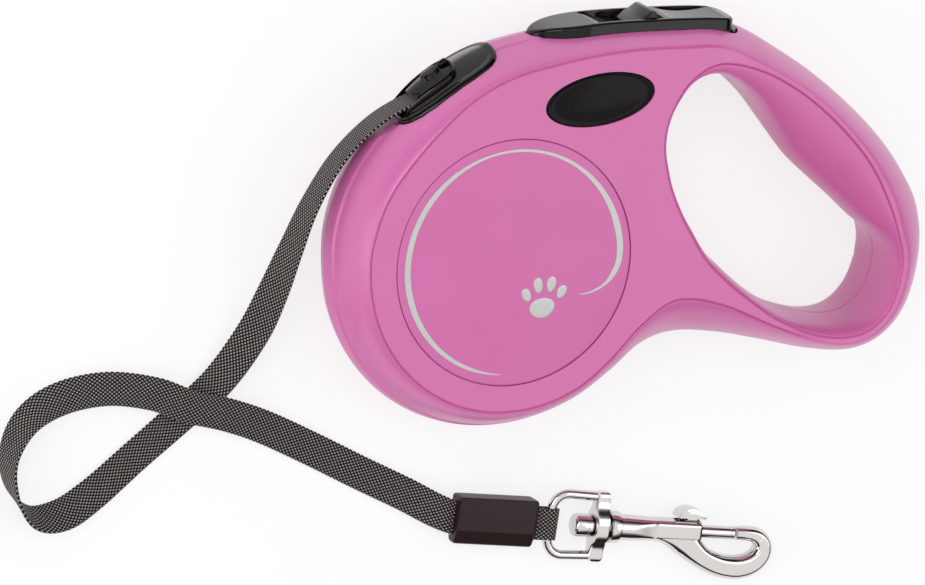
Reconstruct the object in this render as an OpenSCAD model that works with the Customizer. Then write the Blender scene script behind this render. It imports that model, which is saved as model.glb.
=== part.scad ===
// Retractable tape leash lying on its side.
// +X towards the hand grip, +Y towards the brake button, +Z along the spool axis.
// The origin is on the spool axis, on the flat side the case rests on.

/* [Case] */
// Overall thickness of the case, side to side
case_t = 30; // [26:0.5:38]
// Radius of the round front of the case at its parting line
drum_r = 47; // [40:0.5:58]
// Distance from the spool axis to the far end of the hand grip
handle_reach = 121; // [105:1:150]
// Thickness of the moulded side walls
wall = 2.2; // [1.6:0.1:3]
// Radius of the thin disc let into each side
disc_r = 32.8; // [26:0.1:34]
// Thickness of the side discs
disc_t = 0.9; // [0.6:0.1:1.2]

/* [Tape] */
// Width of the woven tape
tape_w = 9; // [7:0.5:11]
// Thickness of the woven tape
tape_t = 0.8; // [0.6:0.1:1.2]
// Number of turns of tape left on the hub
tape_turns = 24; // [14:1:24]

/* [Spool] */
// Radius of the spool hub the tape is wound on
hub_r = 20; // [16:0.5:22]
// Radius of the fixed axle
axle_r = 4; // [3:0.1:5]
// Radial running clearance of the turning pieces
run_gap = 0.05; // [0.01:0.01:0.1]
// Number of brake notches round the ratchet flange
notches = 24; // [16:4:32]
// Depth of each brake notch
notch_d = 1.6; // [1.2:0.1:2]

/* [Button] */
// Width of the brake button across the case
button_w = 15; // [12:0.5:17]
// Furthest turn of the brake button in degrees
button_turn = 5; // [3:0.5:5]
// Radius of the button's pivot pin
pivot_r = 1.5; // [1.2:0.1:1.8]

/* [Snap] */
// Width of the swivel ring across its wires
ring_w = 16.4; // [14:0.2:20]
// Radius of the swivel ring's wire
ring_wire_r = 1.3; // [1:0.1:1.6]
// Radius of the bolt that closes the snap
bolt_r = 1.7; // [1.3:0.1:2]
// Opening of the snap, from the body's nose to the hook's tip
snap_gap = 9.5; // [7:0.5:11]
// Radius of the snap's collar
collar_r = 4.3; // [3.8:0.1:5]

/* [Hidden] */
e = 0.01;
$fn = 64;

pink = [0.88, 0.20, 0.55];
black = [0.09, 0.07, 0.07];
tape_black = [0.05, 0.05, 0.055];
chrome_grey = [0.78, 0.78, 0.80];
silver = [0.70, 0.70, 0.72];
spool_grey = [0.55, 0.56, 0.58];

zc = case_t / 2;
kd = drum_r / 47;
kh = (handle_reach - 40 * kd) / 81;
function fx(x) = x <= 40 ? x * kd : 40 * kd + (x - 40) * kh;
function mp(p) = [fx(p[0]), p[1] * kd];

// spool layout along the axis and across it
tape_slot = tape_w + 1;
flange_t = 1.8;
ratchet_t = 3;
z_lo = zc - tape_slot / 2;
z_hi = zc + tape_slot / 2;
boss_gap = 0.3;
cavity_r = drum_r - 2.8;
flange_r = drum_r - 4.4;
pack_r = hub_r + tape_turns * tape_t;
pack_end = min(pack_r, flange_r - notch_d - 1.6 * kd);
boss_z = z_hi + ratchet_t + boss_gap;

// outline stations: parting line, outer face line, inner face line, opening
ST = [
    [[121, -5], [112, -6], [110.8, -6], [108.7, -7]],
    [[120, 6], [110, 2], [109, 2], [107, -1]],
    [[115.5, 15], [107, 11], [105.8, 10.5], [101, 4]],
    [[108.5, 24.5], [101, 21.5], [100, 21], [95, 9.5]],
    [[99, 34], [92.5, 31.5], [91.5, 30.8], [88, 15.5]],
    [[88, 43], [82.5, 40.5], [81.5, 39.5], [82, 21]],
    [[77, 50.3], [73, 46.5], [72, 45.5], [76.5, 28]],
    [[67, 56], [65, 50.5], [64.5, 48.6], [71.5, 35]],
    [[57, 58.8], [56.5, 54.5], [57.5, 50], [66.5, 40.5]],
    [[45, 59.2], [45, 55], [53, 49.3], [61.5, 44.5]],
    [[32, 59.2], [33, 55], [49.5, 47.3], [56, 46]],
    [[19, 58.6], [21, 54], [46.5, 44.5], [51, 44.8]],
    [[7, 57.2], [9, 52], [44.3, 41], [47.5, 41.5]],
    [[-5, 54.3], [-3, 49], [42.8, 38], [45.2, 38]],
    [[-16, 48.8], [-13.5, 43.5], [41.8, 35], [43.9, 34.5]],
    [[-26.5, 41.2], [-22, 36], [41.2, 32], [43.4, 31.5]],
    [[-36, 32.3], [-30, 27], [41.1, 29], [43.2, 28.7]],
    [[-43, 21.5], [-36, 18], [41.3, 26.5], [43.4, 26.2]],
    [[-46.8, 9], [-39.4, 7], [41.8, 24], [43.9, 23.7]],
    [[-46.9, -3], [-39.9, -2.5], [42.4, 21.5], [44.5, 21.3]],
    [[-44.5, -15.2], [-37.8, -13], [43.2, 18.5], [45.3, 18.8]],
    [[-38.5, -27], [-32.7, -23], [44.2, 15.8], [46.3, 16.2]],
    [[-29.5, -36.6], [-25, -31.2], [45.3, 13.2], [47.4, 13.8]],
    [[-18, -43.4], [-15.3, -37], [46.6, 10.6], [48.6, 11.3]],
    [[-5, -46.7], [-4.3, -39.8], [48, 8], [50, 8.9]],
    [[9, -46.1], [8, -39.2], [50, 4.8], [52, 5.8]],
    [[22, -41.6], [19.5, -35], [52.3, 1], [54.3, 2.2]],
    [[33, -34.5], [29, -27.5], [55.2, -3], [57.2, -1.6]],
    [[42, -27.6], [37.5, -18.5], [58.8, -6.5], [60.8, -4.8]],
    [[52, -24.6], [47, -12.5], [63, -10.2], [65, -8.6]],
    [[64, -25.4], [60, -14.6], [68.5, -14.3], [71.5, -13.8]],
    [[77, -28], [75.5, -21.3], [76.5, -19.6], [79, -18.3]],
    [[90, -30.9], [87.5, -25.5], [87, -24], [87.5, -21]],
    [[102, -31.5], [97, -26.6], [96.5, -25], [95, -22]],
    [[111.5, -27.3], [104.5, -23.8], [103.6, -22.6], [101.8, -20.4]],
    [[118, -18.5], [110, -16.6], [108.8, -16], [106.7, -15]]];
sub = 3;
ns = len(ST) * sub;

function cr(a, b, c, d, t) = 0.5 * (2 * b + (c - a) * t
    + (2 * a - 5 * b + 4 * c - d) * t * t + (3 * b - a - 3 * c + d) * t * t * t);
function closed(p, n) = [for (i = [0:len(p) - 1], j = [0:n - 1])
    let (m = len(p))
    cr(p[(i + m - 1) % m], p[i], p[(i + 1) % m], p[(i + 2) % m], j / n)];
function opened(p, n) = let (m = len(p)) [for (k = [0:(m - 1) * n])
    let (i = min(floor(k / n), m - 2), t = k / n - i)
    cr(p[max(i - 1, 0)], p[i], p[i + 1], p[min(i + 2, m - 1)], t)];
function col(k) = closed([for (s = ST) mp(s[k])], sub);

// a rim that starts upright at the parting line and ends flat at the side face
function rim_w(h, q) = 1 - pow(1 - pow(h, q), 1 / q);
rim_h = [0, 0.2, 0.4, 0.6, 0.76, 0.88, 0.96, 0.998];
skin_up = 1;

module half_block() {
    o = col(0);
    f = col(1);
    g = col(2);
    q = col(3);
    nr = len(rim_h) + 1;
    m = 2 * nr;
    pts = [for (i = [0:ns - 1], j = [0:m - 1])
        let (k = j < nr ? j : m - 1 - j, top = k == nr - 1,
            h = top ? 1 : rim_h[k], w = k >= nr - 2 ? 1 : rim_w(h, j < nr ? 1.4 : 1.8),
            p = j < nr ? o[i] + (f[i] - o[i]) * w : q[i] + (g[i] - q[i]) * w)
        [p[0], p[1], zc + h * zc + (top ? skin_up : 0)]];
    fc = [for (i = [0:ns - 1], j = [0:m - 1], s = [0, 1])
        let (a = i * m + j, b = i * m + (j + 1) % m,
            c = ((i + 1) % ns) * m + (j + 1) % m, d = ((i + 1) % ns) * m + j)
        s == 0 ? [a, b, c] : [a, c, d]];
    polyhedron(points = pts, faces = fc, convexity = 8);
}

// a slab whose outline is drawn in by a rounded amount at its two faces
function inset(p, d) = [for (i = [0:len(p) - 1])
    let (m = len(p), t = p[(i + 1) % m] - p[(i + m - 1) % m], l = norm(t))
    p[i] + [-t[1], t[0]] / l * d];
module round_slab(p, z0, z1, r0, r1, steps = 4) {
    rings = concat(
        [for (k = [0:steps]) let (a = 90 * k / steps) [z0 + r0 * (1 - cos(a)), r0 * (1 - sin(a))]],
        [for (k = [steps:-1:0]) let (a = 90 * k / steps) [z1 - r1 * (1 - cos(a)), r1 * (1 - sin(a))]]);
    m = len(p);
    nr = len(rings);
    pts = [for (g = rings) each [for (v = inset(p, g[1])) [v[0], v[1], g[0]]]];
    fc = concat([[for (j = [0:m - 1]) j]], [[for (j = [m - 1:-1:0]) (nr - 1) * m + j]],
        [for (i = [0:nr - 2], j = [0:m - 1]) [i * m + j, (i + 1) * m + j,
            (i + 1) * m + (j + 1) % m, i * m + (j + 1) % m]]);
    polyhedron(points = pts, faces = fc, convexity = 4);
}

function unit(v) = v / norm(v);
// a round wire along a path, with a radius for each point
module wire(p, r, sides = 10) {
    n = len(p);
    t = [for (i = [0:n - 1]) unit(p[min(i + 1, n - 1)] - p[max(i - 1, 0)])];
    pts = [for (i = [0:n - 1]) let (up = abs(t[i][2]) > 0.95 ? [1, 0, 0] : [0, 0, 1],
            u = unit(cross(up, t[i])), v = cross(t[i], u), rr = is_list(r) ? r[i] : r)
        each [for (j = [0:sides - 1]) let (a = 360 * j / sides)
            p[i] + rr * (cos(a) * u + sin(a) * v)]];
    fc = concat([[for (j = [0:sides - 1]) j]],
        [[for (j = [sides - 1:-1:0]) (n - 1) * sides + j]],
        [for (i = [0:n - 2], j = [0:sides - 1], s = [0, 1])
            let (a = i * sides + j, b = (i + 1) * sides + j,
                c = (i + 1) * sides + (j + 1) % sides, d = i * sides + (j + 1) % sides)
            s == 0 ? [a, b, c] : [a, c, d]]);
    polyhedron(points = pts, faces = fc, convexity = 6);
}
module coil(r, w, len, turns, sides = 6) {
    k = turns * 14;
    wire([for (i = [0:k]) [r * cos(i * 360 / 14), r * sin(i * 360 / 14), w + (len - 2 * w) * i / k]],
        w, sides);
}
module ring_cut(r0, r1, z0, h) {
    translate([0, 0, z0]) difference() {
        cylinder(r = r1, h = h, $fn = 128);
        translate([0, 0, -1]) cylinder(r = r0, h = h + 2, $fn = 128);
    }
}

// screws, button pivot and outlet positions
SCREWS = [mp([2, 48.5]), mp([72, 47]), mp([112.5, -11]), mp([50, -8])];
screw_r = 1.25;
head_r = 2.6;
PIV = mp([13, 52.2]);
PIN = mp([-27.6, 37]);
pin_r = 1.4;
bw0 = zc - button_w / 2;
bw1 = zc + button_w / 2;
WINDOW = [for (p = [[5.5, 57], [9, 50.6], [9.4, 48.9], [17, 48.9], [18, 48.4],
    [66, 48.4], [66.4, 72], [5.5, 72]]) mp(p)];
CHANNEL = [for (p = [[2, 38.5], [-4, 40], [-9, 41.2], [-18, 40.8], [-27, 37.4], [-33, 33.6],
    [-40, 29], [-43, 34], [-34, 38.4], [-27.5, 42.6], [-18, 45.2], [-9, 44.9], [0, 43.4]]) mp(p)];
SHIELD = closed([for (p = [[-31, 38.8], [-27.5, 39.6], [-21.2, 41.6], [-16.3, 44],
    [-12.2, 46.4], [-8.1, 48.8], [-5.9, 51.4], [-4.7, 54.9], [-9, 53.7], [-13.2, 51.9],
    [-17.6, 49.2], [-22.2, 45.8], [-26.6, 42.4]]) mp(p)], 3);
GUIDE = closed([for (p = [[-28.6, 41.6], [-25, 40.7], [-20.5, 41.8], [-17.2, 44],
    [-14.8, 47], [-14.1, 49.4], [-15.4, 51], [-18, 50.6], [-22.8, 47.5], [-27.6, 43.4]]) mp(p)], 3);
guide_h = tape_w / 2 + 1.8;
BADGE_C = mp([22, 42.3]);
badge_a = 15.4 * kd;
badge_b = 7 * kd;
function ellipse_pts(a, b, n) = [for (i = [0:n - 1]) let (t = 360 * i / n,
    x = a * cos(t), y = b * sin(t)) BADGE_C + [x * cos(7.6) - y * sin(7.6), x * sin(7.6) + y * cos(7.6)]];
badge_d = 1.5;

function grip_out(s) = s[0] + (s[1] - s[0]) * 0.68;
function grip_in(s) = s[3] + (s[2] - s[3]) * 0.58;
GRIP = concat([for (i = [1:5]) mp(grip_out(ST[i]))], [for (i = [5:-1:1]) mp(grip_in(ST[i]))]);
NECK = [for (p = [[50, -17.5], [60, -18.5], [68, -20.3], [62, -14.5], [56, -13]]) mp(p)];

module cavity() {
    top = case_t - wall;
    rotate_extrude($fn = 128) polygon([[0, zc - 1], [cavity_r, zc - 1],
        [cavity_r, zc + 0.48 * zc], [cavity_r - 1.4, zc + 0.61 * zc],
        [cavity_r - 3.2, zc + 0.73 * zc], [cavity_r - 5.7, top],
        [axle_r + 3, top], [axle_r + 3, boss_z], [0, boss_z]]);
}
module half_shell() {
    difference() {
        half_block();
        translate([-drum_r - 20, -drum_r - 20, case_t]) cube([handle_reach + 110, 3 * drum_r, 4]);
        cavity();
        translate([0, 0, boss_z - 1]) cylinder(r = axle_r, h = case_t - wall - boss_z + 1, $fn = 64);
        translate([0, 0, case_t - disc_t]) cylinder(r = disc_r + 0.2, h = 2, $fn = 128);
        translate([0, 0, case_t - badge_d]) linear_extrude(height = 3)
            polygon(ellipse_pts(badge_a, badge_b, 60));
        translate([0, 0, zc - 1]) linear_extrude(height = button_w / 2 + 1.3) polygon(WINDOW);
        translate([0, 0, zc - 1]) linear_extrude(height = tape_w / 2 + 1.8) polygon(CHANNEL);
        translate([0, 0, zc - 1]) linear_extrude(height = 10) polygon(SHIELD);
        translate([0, 0, zc - 1]) linear_extrude(height = guide_h + 1) polygon(GUIDE);
        translate([0, 0, zc - 1]) linear_extrude(height = 0.6 * zc + 1) polygon(GRIP);
        translate([0, 0, zc - 1]) linear_extrude(height = 0.6 * zc + 1) polygon(NECK);
        translate([PIV[0], PIV[1], zc - 1]) cylinder(r = pivot_r, h = button_w / 2 + 3.5, $fn = 48);
        translate([PIN[0], PIN[1], zc - 1]) cylinder(r = pin_r, h = 7.5, $fn = 48);
    }
}

// + side half, the one seen from above
module left_shell() {
    color(pink) difference() {
        half_shell();
        for (s = SCREWS) translate([s[0], s[1], zc - 1]) cylinder(r = screw_r, h = 10, $fn = 32);
        translate([0, 0, z_hi - 0.3]) linear_extrude(height = ratchet_t + 0.6)
            polygon([for (p = [[20, 28], [31, 28], [32, 50], [22.5, 50]]) mp(p)]);
    }
}
// other half, carrying the screw heads
module right_shell() {
    color(pink) difference() {
        translate([0, 0, case_t]) mirror([0, 0, 1]) half_shell();
        for (s = SCREWS) translate([s[0], s[1], -1]) {
            cylinder(r = screw_r, h = zc + 2, $fn = 32);
            cylinder(r = head_r + 0.4, h = 5, $fn = 48);
        }
    }
}
module disc_body() {
    difference() {
        cylinder(r = disc_r, h = disc_t, $fn = 128);
        ring_cut(disc_r - 3.6, disc_r - 2.2, disc_t - 0.3, 1);
    }
}
module trim_body() {
    ring_cut(disc_r - 3.6, disc_r - 2.2, disc_t - 0.3, 0.3);
}
module left_disc() {
    color(pink) translate([0, 0, case_t - disc_t]) disc_body();
}
module right_disc() {
    color(pink) translate([0, 0, disc_t]) mirror([0, 0, 1]) disc_body();
}
module left_trim_ring() {
    color(silver) translate([0, 0, case_t - disc_t]) trim_body();
}
module right_trim_ring() {
    color(silver) translate([0, 0, disc_t]) mirror([0, 0, 1]) trim_body();
}
module badge_body() {
    translate([0, 0, case_t - badge_d])
        round_slab(ellipse_pts(badge_a - 0.15, badge_b - 0.15, 60), 0, badge_d - 0.1, 0.05, 1.1, 4);
}
module left_badge() {
    color(black) badge_body();
}
module right_badge() {
    color(black) translate([0, 0, case_t]) mirror([0, 0, 1]) badge_body();
}
module tape_way(clear) {
    h = tape_w / 2 + clear;
    translate([0, 0, zc - h]) linear_extrude(height = 2 * h) polygon(CHANNEL);
}
module outlet_shield() {
    color(black) difference() {
        translate([0, 0, zc - 9]) linear_extrude(height = 18) polygon(SHIELD);
        translate([0, 0, zc - guide_h]) linear_extrude(height = 2 * guide_h) polygon(GUIDE);
        tape_way(0.8);
    }
}
module outlet_guide() {
    color(black) difference() {
        translate([0, 0, zc - guide_h]) linear_extrude(height = 2 * guide_h) polygon(GUIDE);
        tape_way(0.6);
    }
}
module outlet_pin() {
    color(chrome_grey) translate([PIN[0], PIN[1], zc - 6.5]) cylinder(r = pin_r, h = 13, $fn = 48);
}
module spool_axle() {
    color(chrome_grey) difference() {
        translate([0, 0, wall]) cylinder(r = axle_r, h = case_t - 2 * wall, $fn = 64);
        translate([-0.4, -axle_r - 1, zc - tape_w / 2]) cube([0.8, axle_r + 1, tape_w]);
    }
}
module case_screws() {
    color(chrome_grey) for (s = SCREWS) translate([s[0], s[1], 0]) difference() {
        union() {
            translate([0, 0, 2.2]) cylinder(r = head_r, h = 1.8, $fn = 48);
            translate([0, 0, 4]) cylinder(r = screw_r, h = zc + 4.5, $fn = 32);
        }
        translate([0, 0, 2.2]) cube([3.2, 0.7, 1.6], center = true);
        translate([0, 0, 2.2]) cube([0.7, 3.2, 1.6], center = true);
    }
}

module spool_drum() {
    color(spool_grey) difference() {
        union() {
            translate([0, 0, z_lo - flange_t]) cylinder(r = flange_r, h = flange_t, $fn = 128);
            translate([0, 0, z_lo - ratchet_t]) cylinder(r = axle_r + 5, h = ratchet_t, $fn = 64);
            translate([0, 0, z_lo - e]) cylinder(r = hub_r, h = tape_slot + e, $fn = 96);
        }
        translate([0, 0, z_lo]) cylinder(r = hub_r - 2.4, h = tape_slot + 1, $fn = 96);
        translate([0, 0, z_lo - 5]) cylinder(r = axle_r + run_gap, h = 6, $fn = 64);
        for (a = [0:60:300]) rotate(a) translate([30 * kd, 0, z_lo - flange_t - 1])
            cylinder(r = 4 * kd, h = flange_t + 2, $fn = 48);
    }
}
module ratchet_flange() {
    pitch = 360 / notches;
    na = 3.6;
    color(spool_grey) difference() {
        translate([0, 0, z_hi]) cylinder(r = flange_r, h = ratchet_t, $fn = 128);
        translate([0, 0, z_hi - 1]) cylinder(r = axle_r + run_gap, h = ratchet_t + 2, $fn = 64);
        for (i = [0:notches - 1]) rotate(PAWL_A + i * pitch)
            translate([0, 0, z_hi - 1]) linear_extrude(height = ratchet_t + 2)
            polygon([[flange_r - notch_d, -flange_r * sin(na)], [flange_r + 2, -flange_r * sin(na) - 0.8],
                [flange_r + 2, flange_r * sin(na) + 0.8], [flange_r - notch_d, flange_r * sin(na)]]);
    }
}
module tape_pack() {
    color(tape_black) ring_cut(hub_r, pack_end, zc - tape_w / 2, tape_w);
}
module power_spring() {
    turns = 7;
    k = turns * 24;
    r0 = axle_r + 0.5;
    r1 = hub_r - 3.1;
    s = 0.5;
    function sp(i, d) = let (a = -90 + i * 15, r = r0 + (r1 - r0) * i / k + d) [r * cos(a), r * sin(a)];
    color(chrome_grey) translate([0, 0, zc - tape_w / 2 + 0.3])
        linear_extrude(height = tape_w - 0.6)
        polygon(concat([for (i = [0:k]) sp(i, 0)], [for (i = [k:-1:0]) sp(i, s)]));
}

// brake button: one long rocker on a steel pin, with a pawl below it
BTN = [for (p = [[7.3, 57.6], [9.6, 56.2], [10.2, 52.2], [11, 50], [13, 49.3], [15.2, 50],
    [18, 52.8], [40, 52.8], [62.5, 52.9], [64.6, 56], [64, 59.6], [62.6, 60.6],
    [56, 61.1], [44.5, 61.3], [44, 58.9], [31, 58.6], [29.6, 60.6], [24, 60.3],
    [16.5, 59.4], [9.5, 58.7]]) mp(p)];
PAWL = mp([26, 33.9]);
PAWL_A = atan2(PAWL[1], PAWL[0]);
tip_r = flange_r + 0.4;
SPR = mp([40, 48.4]);
module brake_button() {
    color(black) difference() {
        translate([0, 0, bw0]) linear_extrude(height = button_w) polygon(BTN);
        translate([PIV[0], PIV[1], bw0 - 1]) cylinder(r = pivot_r + run_gap, h = button_w + 2, $fn = 48);
        translate([fx(53), 83.3 * kd, bw0 + 2.5]) cylinder(r = 23 * kd, h = button_w - 5, $fn = 128);
        translate([fx(34.5), 54 * kd, zc - 2]) cube([6.8, 6 * kd, 4]);
        translate([fx(25) , 52 * kd, z_hi + 0.3]) cube([2.6, 4 * kd, ratchet_t - 0.6]);
    }
}
module pivot_pin() {
    color(chrome_grey) translate([PIV[0], PIV[1], bw0 - 2.5])
        cylinder(r = pivot_r, h = button_w + 5, $fn = 48);
}
module brake_pawl() {
    tp = [tip_r * cos(PAWL_A), tip_r * sin(PAWL_A)];
    u = [cos(PAWL_A), sin(PAWL_A)];
    v = [-u[1], u[0]];
    color(chrome_grey) translate([0, 0, z_hi + 0.3]) linear_extrude(height = ratchet_t - 0.6)
        polygon([tp - v * 1.1, tp + u * 2.6 - v * 1.8, [fx(25) + 2.6, 44 * kd], [fx(25) + 2.6, 56 * kd],
            [fx(25), 56 * kd], [fx(25), 44 * kd], tp + u * 2.6 + v * 1.8, tp + v * 1.1]);
}
module button_spring() {
    color(chrome_grey) translate([SPR[0], SPR[1], zc]) rotate([-90, 0, 0]) coil(2.2, 0.3, 4.4 * kd, 3);
}
module lock_slider() {
    w = (button_w - 3.4) / 2;
    color(black) union() {
        translate([0, 0, zc - w]) linear_extrude(height = 2 * w)
            polygon([for (p = [[32.6, 59.1], [40.4, 59.2], [40.8, 60.9], [39.6, 62.7],
                [38.2, 62.9], [35.5, 61.1], [32.8, 60.2]]) mp(p)]);
        translate([fx(34.7), 56 * kd, zc - 1.8]) cube([2.8, 4 * kd, 3.6]);
    }
}

// tape route: x, y, z and roll of the tape's width above the table in degrees
ROUTE = [
    [8.3, 39.6, 15, 90], [0, 41.4, 15, 90], [-9, 42.9, 15, 90],
    [-18, 42.9, 15, 90], [-27, 40.2, 15, 90], [-36, 34.9, 15, 90], [-44.8, 26, 15, 88],
    [-51.5, 14, 14.4, 82], [-55.5, 2, 12.8, 70], [-58.5, -10, 9.6, 52],
    [-62, -21.5, 6, 34], [-69.5, -34.5, 2.8, 18], [-80, -44.8, 1.1, 8],
    [-91, -54, 0.8, 4], [-103, -63.5, 1.6, 12], [-112, -68.2, 3, 32],
    [-120.5, -68, 4.2, 62], [-126.5, -61, 4.7, 88], [-128, -51.5, 4.6, 102],
    [-123.5, -42.5, 4, 124], [-114, -37.2, 2.9, 150], [-101, -35.2, 2.8, 168],
    [-88, -37, 3.6, 177], [-78, -40.8, 4.1, 180], [-67, -43.8, 3.4, 180],
    [-56, -48, 1.8, 180],
    [-42, -54.8, 0.7, 180], [-28, -62, 0.6, 180], [-15, -68.4, 1.4, 180],
    [-6, -73.1, 3.3, 180], [0.5, -75.3, 4.3, 180], [10, -76.25, 4.3, 180]];
rsub = 2;
module tape_run() {
    xyz = opened([for (r = ROUTE) let (p = mp(r)) [p[0], p[1], r[2] + (r[2] > 14.9 ? zc - 15 : 0)]], rsub);
    roll = opened([for (r = ROUTE) [r[3], 0]], rsub);
    n = len(xyz);
    a = tape_w / 2;
    b = tape_t / 2;
    c = 0.25;
    sec = [[a, -b + c], [a, b - c], [a - c, b], [c - a, b], [-a, b - c], [-a, c - b], [c - a, -b], [a - c, -b]];
    pts = [for (i = [0:n - 1]) let (t = unit(xyz[min(i + 1, n - 1)] - xyz[max(i - 1, 0)]),
            hz = unit([-t[1], t[0], 0]), up = cross(t, hz), ro = roll[i][0],
            w = cos(ro) * hz + sin(ro) * up, q = cross(t, w))
        each [for (s = sec) xyz[i] + w * s[0] + q * s[1]]];
    m = 8;
    fc = concat([[for (j = [0:m - 1]) j]], [[for (j = [m - 1:-1:0]) (n - 1) * m + j]],
        [for (i = [0:n - 2], j = [0:m - 1], s = [0, 1])
            let (k0 = i * m + j, k1 = (i + 1) * m + j, k2 = (i + 1) * m + (j + 1) % m, k3 = i * m + (j + 1) % m)
            s == 0 ? [k0, k1, k2] : [k0, k2, k3]]);
    color(tape_black) polyhedron(points = pts, faces = fc, convexity = 10);
}

// everything on the tape's end lies on one line, drawn in its own axes
END = mp([34.4, -78.8]);
end_z = 4.3;
module at_end() {
    translate([END[0], END[1], end_z]) rotate(-6) children();
}
bar_s = -9;
module tape_loop() {
    // U-shaped fold of tape round the ring's bar, seen from the side
    ri = ring_wire_r + 0.05;
    ro = ri + tape_t;
    color(tape_black) at_end() translate([bar_s, tape_w / 2, 0]) rotate([90, 0, 0])
        linear_extrude(height = tape_w) difference() {
            union() {
                circle(r = ro, $fn = 48);
                translate([-13, -ro]) square([13, 2 * ro]);
            }
            circle(r = ri, $fn = 48);
            polygon([[-14, -0.45], [-4, -0.45], [-1, -ri], [0, -ri], [0, ri], [-1, ri], [-4, 0.45], [-14, 0.45]]);
        }
}
module tape_sleeve() {
    // moulded cover over the tape's sewn end
    p = [[-36.4, -6.2], [-13.9, -6.4], [-13.9, 6.4], [-36.4, 6.2]];
    r = 1.2;
    pp = concat([for (k = [0:4]) [p[0][0] + r - r * cos(k * 22.5), p[0][1] + r - r * sin(k * 22.5)]],
        [for (k = [0:4]) [p[1][0] - r + r * sin(k * 22.5), p[1][1] + r - r * cos(k * 22.5)]],
        [for (k = [0:4]) [p[2][0] - r + r * cos(k * 22.5), p[2][1] - r + r * sin(k * 22.5)]],
        [for (k = [0:4]) [p[3][0] + r - r * sin(k * 22.5), p[3][1] - r + r * cos(k * 22.5)]]);
    t = ring_wire_r + tape_t + 0.05;
    color(black) at_end() difference() {
        round_slab(pp, -t - 1, t + 1, 0.8, 0.8, 3);
        translate([-14 - 7.9, -tape_w / 2, -t]) cube([9, tape_w, 2 * t]);
        translate([-37, -tape_w / 2, -tape_t / 2]) cube([16, tape_w, tape_t]);
    }
}
rh = ring_w / 2 - ring_wire_r;
blk = 2.3;
module swivel_ring() {
    // D-shaped wire ring with a bored block that the snap turns in
    w = ring_wire_r;
    path = concat([[2.6 + blk, 3, 0], [2.6 + blk, 4.6, 0]],
        [for (a = [0:15:90]) [1.6 + blk + 1 * cos(a) - 0.6, rh - 2.4 + 2.4 * sin(a), 0]],
        [for (a = [90:15:180]) [bar_s + 2.6 + 2.6 * cos(a), rh - 2.6 + 2.6 * sin(a), 0]]);
    full = concat(path, [for (i = [len(path) - 1:-1:0]) [path[i][0], -path[i][1], 0]]);
    color(chrome_grey) at_end() difference() {
        union() {
            wire(full, w, 12);
            translate([2.7, 0, 0]) rotate([0, 90, 0]) cylinder(r = 3.9, h = 2 * blk, $fn = 48);
        }
        translate([-1, 0, 0]) rotate([0, 90, 0]) cylinder(r = 2.2 + run_gap, h = 12, $fn = 48);
    }
}
nose_s = 34;
tip_s = nose_s + snap_gap;
bore_s = 12.6;
HOOK = opened([[20, -2.2, 0], [26, -3.6, 0], [31.5, -6.1, 0], [37, -8.9, 0], [43, -10.2, 0],
    [48.6, -9.6, 0], [52.2, -6.6, 0], [52.8, -2.8, 0], [50.6, -0.3, 0], [tip_s + 3.6, 0, 0], [tip_s + 0.9, 0, 0]], 4);
function hook_r(i) = let (n = len(HOOK) - 1, t = i / n)
    t < 0.25 ? 2.7 : (t < 0.75 ? 2.7 - 0.4 * (t - 0.25) / 0.5 : 2.3 - 0.1 * (t - 0.75) / 0.25);
module snap_body() {
    color(chrome_grey) at_end() difference() {
        union() {
            translate([-2.4, 0, 0]) rotate([0, 90, 0]) cylinder(r1 = 2.6, r2 = 3.1, h = 1.2, $fn = 48);
            translate([-1.2, 0, 0]) rotate([0, 90, 0]) cylinder(r = 3.1, h = 3.7, $fn = 48);
            translate([2, 0, 0]) rotate([0, 90, 0]) cylinder(r = 2.2, h = 7, $fn = 48);
            translate([7.5, 0, 0]) rotate([0, 90, 0]) cylinder(r = collar_r, h = 2.9, $fn = 64);
            translate([10.3, 0, 0]) rotate([0, 90, 0]) cylinder(r = 3.5, h = 9, $fn = 64);
            translate([19, 0, 0]) rotate([0, 90, 0]) cylinder(r = 3.4, h = nose_s - 19, $fn = 64);
            wire(HOOK, [for (i = [0:len(HOOK) - 1]) hook_r(i)], 14);
        }
        translate([bore_s, 0, 0]) rotate([0, 90, 0]) cylinder(r = bolt_r + run_gap, h = nose_s - bore_s + 1, $fn = 48);
        translate([nose_s, 0, 0]) rotate([0, 90, 0]) cylinder(r = bolt_r + 0.1, h = snap_gap + 0.9, $fn = 48);
        translate([nose_s - 5 - snap_gap - 0.3, 0, -1.1]) cube([snap_gap + 6, 6, 2.2]);
    }
}
bolt_end = tip_s + 0.6;
bolt_len = bolt_end - bore_s - snap_gap - 2.6;
module snap_bolt() {
    color(chrome_grey) at_end() difference() {
        translate([bolt_end - bolt_len, 0, 0]) rotate([0, 90, 0]) cylinder(r = bolt_r, h = bolt_len, $fn = 48);
        translate([nose_s - 4, 0, -0.9]) cube([2.8, 3, 1.8]);
    }
}
module bolt_knob() {
    color(chrome_grey) at_end() union() {
        translate([nose_s - 4, 0, -0.9]) cube([2.8, 3.9, 1.8]);
        translate([0, 0, -1.9]) linear_extrude(height = 3.8) polygon([for (p = [[-6.6, 3.6], [0.4, 3.6],
            [1.3, 4.1], [0.9, 4.9], [-1.2, 4.7], [-3.6, 5.4], [-5.9, 6.1], [-7, 5.6], [-7.2, 4.4]])
            [nose_s + p[0], p[1]]]);
    }
}
module bolt_spring() {
    sl = bolt_end - bolt_len - bore_s;
    color(chrome_grey) at_end() translate([bore_s, 0, 0]) rotate([0, 90, 0]) coil(1.25, 0.22, sl, 5);
}

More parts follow.
